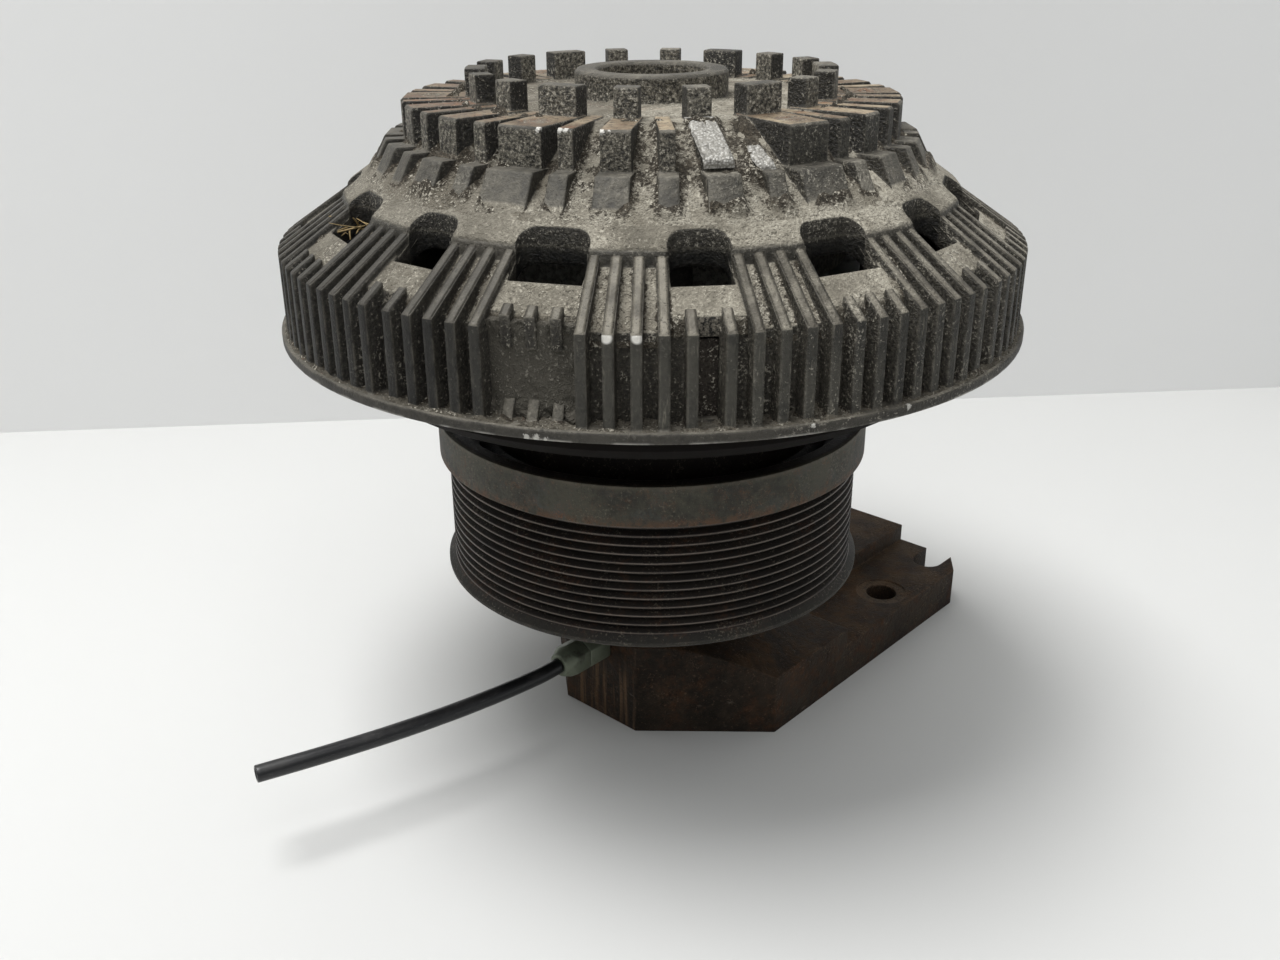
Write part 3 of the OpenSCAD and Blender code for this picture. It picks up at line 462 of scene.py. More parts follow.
def wire_grit(g: Graph, at: dict[str, Socket]) -> dict[str, Socket]:
    """Sand from a fine rough noise: pale grains at its peaks, dark ones in its hollows, in broad patches.

    Args:
        g: Tree of the group.
        at: Inputs.

    Returns:
        Outputs by name.
    """
    broad = g.noise(at["Place"], g.times(at["Scale"], 0.09), 3.0, 0.6)
    patch = g.plus(g.times(g.math("SUBTRACT", broad, 0.5), 0.4), at["Density"])
    fine = g.noise(at["Place"], at["Scale"], 2.0, 0.8)
    return {
        "Pale": g.rise(g.plus(fine, patch), 0.6, 0.7),
        "Dark": g.rise(g.math("SUBTRACT", fine, patch), 0.4, 0.3),
        "Sand": g.rise(fine, 0.33, 0.68),
        "Patch": broad,
    }


def wire_cast(g: Graph, at: dict[str, Socket]) -> dict[str, Socket]:
    """Sand-cast skin: two sizes of noise for the relief, with pits, and a broad noise for the tone.

    Args:
        g: Tree of the group.
        at: Inputs.

    Returns:
        Outputs by name.
    """
    coarse = g.noise(at["Place"], at["Scale"], 3.0, 0.6)
    fine = g.noise(at["Place"], g.times(at["Scale"], 4.5), 2.0, 0.6)
    pits = g.rise(g.cells(at["Place"], g.times(at["Scale"], 1.7)), 0.26, 0.05)
    relief = g.plus(g.times(coarse, 0.6), g.times(fine, 0.4), g.times(pits, g.times(at["Pits"], -0.5)))
    tone = g.plus(
        g.times(g.noise(at["Place"], g.times(at["Scale"], 0.07), 3.0, 0.6), 0.65), g.times(coarse, 0.35)
    )
    return {"Relief": relief, "Tone": tone}


def wire_dust(g: Graph, at: dict[str, Socket]) -> dict[str, Socket]:
    """Fallen dust: lies on faces that look up, and breaks up with a cloudy noise.

    Args:
        g: Tree of the group.
        at: Inputs.

    Returns:
        Outputs by name.
    """
    cloud = g.plus(g.times(at["Cloud"], 0.7), g.times(g.noise(at["Place"], 420.0, 2.0), 0.3))
    lying = g.rise(at["Up"], 0.25, 0.8)
    return {"Mask": g.math("MULTIPLY", lying, g.rise(g.plus(cloud, at["Amount"]), 0.75, 1.1), clamp=True)}


def wire_edge(g: Graph, at: dict[str, Socket]) -> dict[str, Socket]:
    """Worn edges: where the normal rounded over a small radius leaves the true one, broken up with noise.

    Args:
        g: Tree of the group.
        at: Inputs.

    Returns:
        Outputs by name.
    """
    rounded = g.node("ShaderNodeBevel", samples=4)
    g.put(rounded.inputs["Radius"], at["Reach"])
    true = g.node("ShaderNodeNewGeometry")
    dot = g.node("ShaderNodeVectorMath", operation="DOT_PRODUCT")
    g.put(dot.inputs[0], rounded.outputs[0])
    g.put(dot.inputs[1], true.outputs["Normal"])
    turn = g.rise(dot.outputs["Value"], 0.995, 0.86)
    broken = g.rise(g.noise(at["Place"], 140.0, 3.0, 0.65), 0.36, 0.62)
    return {"Mask": g.times(turn, broken), "Turn": turn, "Normal": rounded.outputs[0]}


def wire_rust(g: Graph, at: dict[str, Socket]) -> dict[str, Socket]:
    """Rust: patches from a noise at two sizes, whose colour goes from dark brown to orange brown.

    Args:
        g: Tree of the group.
        at: Inputs.

    Returns:
        Outputs by name.
    """
    broad = g.noise(at["Place"], at["Scale"], 5.0, 0.65, 0.4)
    fine = g.noise(at["Place"], g.times(at["Scale"], 7.0), 3.0, 0.7)
    mask = g.rise(g.plus(g.times(broad, 0.65), g.times(fine, 0.35), at["Amount"]), 0.9, 1.15)
    return {"Mask": mask, "Colour": Span.RUST.over(g, g.rise(fine, 0.35, 0.65))}


NUMBER = "NodeSocketFloat"
PLACE = ("NodeSocketVector", None)
TURNED = Group(
    "turned_place",
    {"Place": PLACE, "Facing": PLACE},
    {label: NUMBER for label in ("Radius", "Height", "Up", "Outward", "Side")},
    wire_turned,
)
GRIT = Group(
    "grit",
    {"Place": PLACE, "Scale": (NUMBER, 900.0), "Density": (NUMBER, 0.0)},
    {label: NUMBER for label in ("Pale", "Dark", "Sand", "Patch")},
    wire_grit,
)
CAST = Group(
    "cast_skin",
    {"Place": PLACE, "Scale": (NUMBER, 500.0), "Pits": (NUMBER, 0.5)},
    {"Relief": NUMBER, "Tone": NUMBER},
    wire_cast,
)
DUST = Group(
    "fallen_dust",
    {"Place": PLACE, "Up": (NUMBER, 0.0), "Cloud": (NUMBER, 0.5), "Amount": (NUMBER, 0.5)},
    {"Mask": NUMBER},
    wire_dust,
)
EDGE = Group(
    "worn_edge",
    {"Place": PLACE, "Reach": (NUMBER, 0.001)},
    {"Mask": NUMBER, "Turn": NUMBER, "Normal": "NodeSocketVector"},
    wire_edge,
)
RUST = Group(
    "rust",
    {"Place": PLACE, "Scale": (NUMBER, 60.0), "Amount": (NUMBER, 0.4)},
    {"Mask": NUMBER, "Colour": "NodeSocketColor"},
    wire_rust,
)


@dataclass(frozen=True)
class HousingFront:
    """Sizes of the casting's front, in millimetres and degrees, for its finish and the dirt on it."""

    ring_r: float = 27.9
    deck_z: float = 251.92
    step_r: float = 112.0
    step_z: float = 222.94
    cone: float = 0.68985
    rib_a0: float = 14.6
    rib_step: float = 10.0
    ribs: tuple[float, ...] = (15.6, 5.0, 9.6, 5.0, 9.6, 5.0)
    foot_extra: float = 1.4
    foot_start_r: float = 86.0
    floor_r: float = 131.0
    floor_z: float = 202.4
    slope: float = 0.8391
    fin_r: float = 137.6
    fin_z: float = 203.8
    fin_slope: float = 0.67343
    fin_t: float = 3.4
    pad_drop: float = 2.7
    lip_top: float = 174.8
    pattern_a0: float = 3.8
    period: float = 45.0
    fin_step: float = 3.36
    fins: tuple[float, ...] = (2.34, 5.7, 9.06, 12.42, 15.78, 19.14, 22.5)

    def rib_gap(self, r: np.ndarray, a: np.ndarray) -> np.ndarray:
        """Distance from the nearest rib's side: radius times the sine of the angle, less half the width."""
        turn = (a - self.rib_a0) / self.rib_step
        near = np.round(turn)
        foot = np.where(r > self.foot_start_r, self.foot_extra, 0.0)
        width = np.array(self.ribs)[near.astype(int) % len(self.ribs)] + foot
        return np.abs(r * np.sin(np.radians((turn - near) * self.rib_step))) - width / 2

    def turn(self, a: np.ndarray) -> np.ndarray:
        """Angle from the middle of the nearest narrow window."""
        half = self.period / 2
        return np.abs((a - self.pattern_a0 + half) % self.period - half)

    def fin_gap(self, r: np.ndarray, a: np.ndarray, fins: tuple[float, ...]) -> np.ndarray:
        """Distance from the side of the nearest of some fins."""
        off = np.min(np.abs(self.turn(a)[..., None] - np.array(fins)), axis=-1)
        return r * np.sin(np.radians(off)) - self.fin_t / 2


FRONT = HousingFront()


class Finish(ABC):
    """A surface finish that can make its material."""

    name: str

    def material(self) -> bpy.types.Material:
        """The finish's material, built on its first use."""
        found = bpy.data.materials.get(self.name)
        if found is not None:
            return found
        made = bpy.data.materials.new(self.name)
        made.use_nodes = True
        graph = Graph(made.node_tree)
        shader = made.node_tree.nodes["Principled BSDF"]
        where = graph.node("ShaderNodeTexCoord")
        self.shade(graph, shader, where.outputs["Object"], where.outputs["Normal"])
        return made

    @abstractmethod
    def shade(self, g: Graph, shader: bpy.types.Node, place: Socket, facing: Socket) -> None:
        """Wires the finish into a Principled shader.

        Args:
            g: Tree of the material.
            shader: The Principled shader.
            place: Object coordinates in metres.
            facing: Normal in object space.
        """

    @staticmethod
    def relief(
        g: Graph, shader: bpy.types.Node, height: Value, depth: float, normal: Socket | None = None
    ) -> None:
        """Feeds a height into the shader's normal.

        Args:
            g: Tree of the material.
            shader: The Principled shader.
            height: Height from 0 to 1.
            depth: Real height of 1 in metres.
            normal: Normal that the bumps stand on.
        """
        bump = g.node("ShaderNodeBump")
        bump.inputs["Strength"].default_value = 1.0
        bump.inputs["Distance"].default_value = depth
        g.put(bump.inputs["Height"], height)
        if normal is not None:
            g.put(bump.inputs["Normal"], normal)
        g.put(shader.inputs["Normal"], bump.outputs[0])


@dataclass(frozen=True)
class HousingZones:
    """Masks of the casting's parts."""

    steep: Socket
    sideways: Socket
    outward: Socket
    crest: Socket
    floor: Socket
    cone: Socket
    deck: Socket
    pad: Socket
    crust: Socket
    foot: Socket
    pocket: Socket
    deep: Socket
    gap: Socket
    face: Socket


@dataclass(frozen=True)
class HousingCasting(Finish):
    """Weathered sand-cast aluminium of the fan housing, dusty where it looks up.

    Sizes are in millimetres. A fade is where a mask starts and where it is complete.
    """

    name: str = "housing_casting"
    head_z: float = 252.72
    lip_z: float = 171.3
    lip_r: float = 139.6
    ledge_z: float = 220.6
    block_r: float = 129.5
    cylinder_r: float = 74.0
    deck_r: float = 70.0
    window_in_r: float = 100.0
    gap_out_r: float = 134.5
    feet_r: tuple[float, float] = (91.5, 104.0)
    slope_foot_z: Fade = (196.0, 198.0)
    rib_start_r: Fade = (58.0, 60.0)
    crust_end_r: Fade = (92.0, 90.8)
    crust_foot_z: Fade = (239.0, 241.0)
    sheltered_r: Fade = (78.0, 82.0)
    window_top_z: Fade = (228.0, 226.0)
    window_deep_z: Fade = (221.0, 218.5)
    gap_top_z: Fade = (207.0, 204.0)
    face_r: Fade = (136.6, 137.1)
    face_foot_z: Fade = (174.9, 176.0)
    lip_wall_r: Fade = (138.4, 139.2)
    block_foot_z: Fade = (199.0, 200.0)
    cylinder_top_z: Fade = (236.0, 232.0)
    lug_foot_z: Fade = (253.0, 254.0)

    def chips(self) -> list[tuple[Point, float]]:
        """Middles and radii, in metres, of the half-moon chips below the knees of two fins."""
        return self.spots([(-143.75, 137.6, 202.9, 2.1), (-140.15, 137.6, 203.0, 2.1)])

    def nicks(self) -> list[tuple[Point, float]]:
        """Middles and radii, in metres, of the places where bare metal shows."""
        spots = [(-153.6, 139.4, 172.2, 1.3), (-152.4, 139.4, 172.0, 1.8), (-151.3, 139.4, 171.8, 1.2)]
        spots += [(-118.6, 139.4, 174.2, 0.9), (-104.2, 139.4, 174.0, 1.3)]
        spots += [(-156.6, 89.6, 252.2, 1.6), (-155.3, 89.6, 252.4, 1.2), (-148.2, 89.6, 252.2, 1.5)]
        spots += [(-146.6, 89.6, 252.6, 1.0), (-161.0, 89.7, 252.3, 1.3)]
        return self.spots(spots)

    @staticmethod
    def spots(polar: list[tuple[float, float, float, float]]) -> list[tuple[Point, float]]:
        """Middles and radii in metres of places given by angle, radius, height and reach.

        Args:
            polar: Angle in degrees, then radius, height and reach in millimetres, for each place.

        Returns:
            The same places as a point and a reach, in metres.
        """
        return [
            ((r * MM * math.cos(math.radians(a)), r * MM * math.sin(math.radians(a)), z * MM), reach * MM)
            for a, r, z, reach in polar
        ]

    def fin_brow(self, g: Graph, place: Socket, r: Socket) -> Socket:
        """How close a place is to its fin's side: radius times the angle from the nearest fin's middle.

        Args:
            g: Tree of the material.
            place: Object coordinates in metres.
            r: Radius from the shaft in millimetres.

        Returns:
            A mask that is 0 along the middle of a fin and 1 at its sides.
        """
        x, y, _ = g.split(place)
        angle = g.plus(g.math("ARCTAN2", y, x), math.radians(360.0 - FRONT.pattern_a0))
        turn = g.math("PINGPONG", angle, math.radians(FRONT.period / 2))
        off = g.math("PINGPONG", g.plus(turn, -math.radians(FRONT.fins[0])), math.radians(FRONT.fin_step / 2))
        half = FRONT.fin_t / 2
        return g.rise(g.times(off, r), half * 0.4, half * 1.05)

    def zones(self, g: Graph, at: dict[str, Socket]) -> HousingZones:
        """Masks of the casting's parts, from radius, height and the way that a face looks.

        Args:
            g: Tree of the material.
            at: Outputs of the turned place.

        Returns:
            The masks.
        """
        r, z, up, out = at["Radius"], at["Height"], at["Up"], at["Outward"]
        step_r, deck_z = FRONT.step_r, FRONT.deck_z
        fin_top = g.plus(FRONT.fin_z + FRONT.fin_r * FRONT.fin_slope, g.times(r, -FRONT.fin_slope))
        cone_top = g.plus(FRONT.step_z + step_r * FRONT.cone, g.times(r, -FRONT.cone))
        over_cone = g.math("SUBTRACT", z, cone_top)
        level = g.rise(up, 0.3, 0.6)
        steep = g.rise(g.math("ABSOLUTE", up), 0.5, 0.25)
        outward = g.rise(out, 0.6, 0.85)
        on_cone = g.rise(g.math("ABSOLUTE", over_cone), 1.5, 0.6)
        on_deck = g.band(z, deck_z - 0.4, deck_z + 0.3, 0.3)
        on_head = g.band(z, self.head_z - 0.5, self.head_z + 0.4, 0.3)
        slope = g.times(g.rise(r, step_r, step_r + 1.5), level, g.rise(z, *self.slope_foot_z))
        crest = g.times(slope, g.rise(g.math("SUBTRACT", fin_top, z), 1.1, 0.4))
        pocket = g.times(g.band(r, self.window_in_r, step_r + 0.6, 1.0), g.rise(z, *self.window_top_z), steep)
        in_gap = g.band(r, FRONT.floor_r - 1.0, self.gap_out_r, 2.5)
        return HousingZones(
            steep=steep,
            sideways=g.times(steep, g.rise(g.math("ABSOLUTE", out), 0.7, 0.4)),
            outward=outward,
            crest=crest,
            floor=g.times(slope, g.flip(crest)),
            cone=g.times(g.band(r, self.deck_r + 1.0, step_r + 0.3, 1.0), on_cone, level),
            deck=g.times(g.rise(r, self.deck_r + 1.0, self.deck_r), on_deck, level),
            pad=g.times(on_head, g.rise(up, 0.8, 0.95), g.rise(r, *self.rib_start_r)),
            crust=g.times(g.rise(r, *self.crust_end_r), g.rise(z, *self.crust_foot_z), g.rise(up, 0.7, 0.4)),
            foot=g.times(g.band(r, *self.feet_r, 1.0), g.rise(out, 0.35, 0.6), g.rise(over_cone, 0.5, 1.2)),
            pocket=pocket,
            deep=g.times(pocket, g.rise(z, *self.window_deep_z)),
            gap=g.times(in_gap, g.rise(z, *self.gap_top_z), steep),
            face=g.times(g.rise(r, *self.face_r), outward, g.rise(z, *self.face_foot_z)),
        )

    def shade(self, g: Graph, shader: bpy.types.Node, place: Socket, facing: Socket) -> None:
        """Dusty floors and cone, dark fins with paler edges, crusted ribs, rusty pads and bright nicks.

        Painted light and shade: lit and shaded sides of the shaft, dark sideways faces, gaps and window
        depths.
        """
        at = TURNED.use(g, Place=place, Facing=facing)
        r, z = at["Radius"], at["Height"]
        on = self.zones(g, at)
        cast = CAST.use(g, Place=place, Scale=420.0, Pits=0.6)
        edge = EDGE.use(g, Place=place, Reach=0.0016)
        grit = GRIT.use(g, Place=place, Scale=950.0, Density=0.0)
        rust = RUST.use(g, Place=place, Scale=46.0, Amount=0.44)
        # Painted light and shade: lit picks lit or shaded copies of the fin, crest, grime, powder and pad
        # tones
        lit = g.rise(at["Side"], -0.72, 0.1)
        cloud = g.noise(place, 38.0, 4.0, 0.68)
        clump = g.noise(place, 470.0, 3.0, 0.8)
        grain = g.noise(place, 820.0, 3.0, 0.8)
        sand, patch, tone = grit["Sand"], grit["Patch"], g.rise(cast["Tone"], 0.36, 0.62)
        brow = g.times(self.fin_brow(g, place, r), g.most(on.crest, on.face))

        # The metal, what is baked onto it, and painted shade, from the fins to the inside of the windows
        scrape = g.rise(g.noise(g.stretch(place, (1.0, 1.0, 0.14)), 620.0, 3.0, 0.7), 0.6, 0.72)
        # Soot and painted shade: the slope fins' crests darken towards their sides, broken up by a noise
        soot_and_shade = g.times(on.crest, g.rise(g.plus(brow, g.times(clump, -1.3)), -0.1, 0.3))
        shaded = g.times(on.crust, g.rise(r, *self.sheltered_r), g.rise(at["Side"], 0.1, 0.35))
        lip_wall = g.times(g.rise(r, *self.lip_wall_r), on.outward)
        [(lug, lug_reach)] = self.spots([(13.4, 63.0, 259.0, 11.0)])
        # Grime and painted shade: sideways faces, gaps between the rim's fins and window pockets are darkened
        grime_and_shade = g.most(g.times(on.sideways, 0.85), g.times(on.gap, 0.75), g.times(on.pocket, 0.85))
        on_block = g.band(r, self.block_r - 0.7, self.block_r + 0.7, 0.4)
        on_cylinder = g.band(r, self.cylinder_r - 1.0, self.cylinder_r + 1.0, 0.5)
        ridge = g.mix(lit, Tone.CREST_SHADED.colour, Span.CREST.over(g, g.rise(patch, 0.35, 0.65)))
        metal = g.layers(Span.CASTING.over(g, tone), [
            (on.face, 0.95, g.mix(lit, Span.FIN_SHADED.over(g, tone), Span.FIN_LIT.over(g, tone))),
            (g.times(scrape, on.face, lit), 0.5, Tone.SCRAPE),
            (on.crest, 0.8, ridge),
            (on.foot, 0.85, Span.RIB_FOOT.over(g, tone)),
            (soot_and_shade, 0.9, Span.FIN_SOOT_AND_SHADE.over(g, sand)),
            (on.crust, 0.95, Span.CRUST.over(g, g.rise(grain, 0.38, 0.6))),
            (shaded, 0.7, Span.CRUST_SHADED.over(g, sand)),
            (lip_wall, 0.8, Span.LIP.over(g, tone)),
            (g.times(g.near(place, lug, lug_reach), g.rise(z, *self.lug_foot_z)), 0.85, Tone.OILY_LUG),
            (grime_and_shade, 1.0, g.mix(lit, Span.GRIME_SHADE_ON_SHADED_SIDE.over(g, sand), Span.GRIME_SHADE_ON_LIT_SIDE.over(g, sand))),
            # Painted shade on the sideways faces of the crusted ribs
            (g.times(on.crust, on.sideways), 0.6, Tone.CRUST_SIDE_SHADE),
            (g.times(on_block, on.outward, g.rise(z, *self.block_foot_z)), 1.0,
             Span.SLOT_BLOCK.over(g, g.rise(grain, 0.42, 0.6))),
            (g.times(on_cylinder, g.rise(z, *self.cylinder_top_z), on.steep), 1.0,
             Span.CYLINDER.over(g, g.rise(clump, 0.36, 0.62))),
        ])

        # Dust that lies on it, the rusty pads, and loose grains, with painted shade on one side and deep in
        # the windows
        powder = g.layers(Span.POWDER.over(g, g.rise(cloud, 0.34, 0.64)), [
            (g.flip(sand), 0.45, Tone.POWDER_HOLLOW),
            (g.flip(lit), 0.5, Tone.POWDER_SHADED),
        ])
        dust = DUST.use(g, Place=place, Up=at["Up"], Cloud=cloud, Amount=0.4)["Mask"]
        flats = g.most(on.floor, on.cone, g.times(on.deck, 0.9))
        thick = g.times(flats, g.lerp(g.rise(cloud, 0.3, 0.55), 0.6, 1.0))
        lying = g.most(thick, g.times(dust, g.flip(on.crest), g.flip(on.pad), 0.5))
        pad_tone = g.layers(
            Span.PAD.over(g, g.rise(cloud, 0.36, 0.62)), [(g.flip(lit), 0.6, Tone.PAD_SHADED)]
        )
        crumbs = g.most(
            g.times(on.crust, 0.5), g.times(on.pocket, 0.5), g.times(lying, 0.55), g.times(on.gap, 0.5),
            g.lerp(g.rise(at["Side"], 0.0, 0.5), 0.08, 0.42),
        )
        caked = g.most(g.times(on.crust, g.flip(shaded)), g.times(on.pocket, g.flip(on.deep), 0.6))
        # Pale specks are kept off sideways faces, which leaves those dark as painted shade
        speck = g.times(g.rise(grain, 0.58, 0.64), caked, g.flip(g.times(on.sideways, 0.8)))
        ledge = g.times(on.pocket, g.band(z, self.ledge_z, self.ledge_z + 0.5, 0.3))
        # Worn edges on the fin fronts, made paler on the lit side as a painted highlight
        face_wear_and_highlight = g.lerp(on.face, 0.55, g.lerp(lit, 0.25, 0.6))
        wear = g.lerp(g.times(on.crest, g.flip(on.face)), face_wear_and_highlight, 0.3)
        worn = g.times(edge["Mask"], g.flip(g.times(lying, 0.75)), g.flip(on.deep), wear)
        bare = self.bare(g, place, at, on, patch, cast["Relief"], edge["Turn"])
        colour = g.layers(metal, [
            (lying, 1.0, powder),
            (on.pad, 0.85, pad_tone),
            (g.times(g.most(on.pad, g.times(on.deck, 0.3)), rust["Mask"]), 0.85, rust["Colour"]),
            (g.times(on.pad, g.rise(clump, 0.47, 0.38)), 0.75, Tone.PAD_STAIN),
            (g.times(grit["Pale"], crumbs), 1.0, Tone.PALE_GRAIN),
            (speck, 0.7, Tone.CRUST_SPECK),
            (g.times(grit["Dark"], g.lerp(on.face, 0.65, 0.2)), 1.0, Tone.DARK_GRAIN),
            # Painted shade: the deep lower part of the window pockets is made near black
            (on.deep, 1.0, Span.WINDOW_DEEP_SHADE.over(g, g.rise(clump, 0.36, 0.62))),
            (g.times(ledge, g.rise(clump, 0.34, 0.5)), 0.7, Tone.WINDOW_LEDGE),
            (worn, 1.0, Tone.CASTING_WORN),
            (bare, 1.0, Tone.BARE_METAL),
        ])

        g.put(shader.inputs["Base Color"], colour)
        g.put(shader.inputs["Roughness"], g.lerp(bare, g.lerp(lying, g.lerp(worn, 0.58, 0.44), 0.95), 0.34))
        g.put(shader.inputs["Metallic"], g.times(g.most(g.times(bare, 0.3), g.times(worn, 0.5)), 0.7))
        shader.inputs["Specular IOR Level"].default_value = 0.35
        height = g.plus(
            g.times(cast["Relief"], 0.5),
            g.times(sand, g.lerp(crumbs, 0.1, 1.2)),
            g.times(on.crust, patch, 0.8),
            g.times(brow, g.lerp(on.face, -1.3, -0.35)),
        )
        self.relief(g, shader, height, 0.0005, edge["Normal"])

    def bare(
        self, g: Graph, place: Socket, at: dict[str, Socket], on: HousingZones,
        patch: Socket, relief: Socket, turn: Socket,
    ) -> Socket:
        """Bare metal: along the lip's lower edge, in the nicks with a ragged outline, and in the chips.

        Args:
            g: Tree of the material.
            place: Object coordinates in metres.
            at: Outputs of the turned place.
            on: Masks of the casting's parts.
            patch: Broad noise that breaks up the lip's edge.
            relief: Cast relief that makes the nicks ragged.
            turn: Where an edge turns.

        Returns:
            A mask of the bare metal.
        """
        at_lip = g.rise(at["Radius"], self.lip_r - 1.6, self.lip_r - 0.6)
        below_lip = g.rise(at["Height"], self.lip_z + 1.0, self.lip_z + 0.2)
        ragged = g.times(g.math("SUBTRACT", relief, 0.45), 0.004)
        fresh = g.times(g.lerp(turn, 0.6, 1.0), g.flip(on.crest))
        return g.most(
            g.times(at_lip, below_lip, g.rise(patch, 0.42, 0.6), 0.4),
            *(g.times(g.near(place, middle, reach, ragged), fresh) for middle, reach in self.nicks()),
            *(g.times(g.near(place, middle, reach), g.flip(on.crest)) for middle, reach in self.chips()),
        )


@dataclass(frozen=True)
class PackedDirt(Finish):
    """Granular road dirt that lies on the casting."""

    name: str = "packed_dirt"
    dull: Rgb = (140, 134, 120)
    pale: Rgb = (184, 178, 163)
    # Hollow tone: darker dirt in hollows, and painted shade on the side of the shaft away from the lit side
    hollow: Rgb = (84, 78, 68)
    steep: Rgb = (86, 81, 71)
    rusty: float = 0.3
    crumbs: float = 0.7

    def shade(self, g: Graph, shader: bpy.types.Node, place: Socket, facing: Socket) -> None:
        """Grey beige powder in clouds, darker in hollows and corners, with pale and dark grains and rust.

        The side of the shaft away from the lit side is darker as painted shade; corners hold dark dirt and
        painted shade.
        """
        at = TURNED.use(g, Place=place, Facing=facing)
        grit = GRIT.use(g, Place=place, Scale=900.0, Density=0.03)
        rust = RUST.use(g, Place=place, Scale=60.0, Amount=self.rusty)
        cloud = g.rise(g.noise(place, 42.0, 4.0, 0.68), 0.34, 0.66)
        damp = g.most(g.times(g.flip(grit["Sand"]), 0.5), g.times(g.rise(grit["Patch"], 0.5, 0.32), 0.55))
        corner = g.node("ShaderNodeAttribute", attribute_name="corner").outputs["Fac"]
        lumpy = g.times(g.math("SUBTRACT", g.noise(place, 300.0, 3.0, 0.75), 0.52), 2.6)
        # Black dirt and painted shade near the foot of ribs and fins and in the valleys between the rib heads
        soot_and_shade = g.times(g.rise(g.plus(corner, lumpy), 0.45, 0.75), g.rise(corner, 0.04, 0.2))
        colour = g.layers(g.mix(cloud, paint(*self.dull), paint(*self.pale)), [
            (g.rise(at["Up"], 0.75, 0.3), 1.0, paint(*self.steep)),
            # Darker in hollows, and painted shade on the side of the shaft away from the lit side
            (g.most(damp, g.times(g.rise(at["Side"], 0.12, -0.6), 0.64)), 1.0, paint(*self.hollow)),
            (rust["Mask"], 0.7, rust["Colour"]),
            (soot_and_shade, 0.88, Span.DIRT_SOOT_AND_SHADE.over(g, grit["Sand"])),
            (grit["Pale"], self.crumbs, Tone.DIRT_PALE),
            (grit["Dark"], self.crumbs, Tone.DIRT_DARK),
        ])
        g.put(shader.inputs["Base Color"], colour)
        g.put(shader.inputs["Roughness"], g.lerp(grit["Sand"], 0.97, 0.88))
        shader.inputs["Specular IOR Level"].default_value = 0.3
        self.relief(g, shader, g.plus(grit["Sand"], g.times(grit["Pale"], 0.5)), 0.0005)


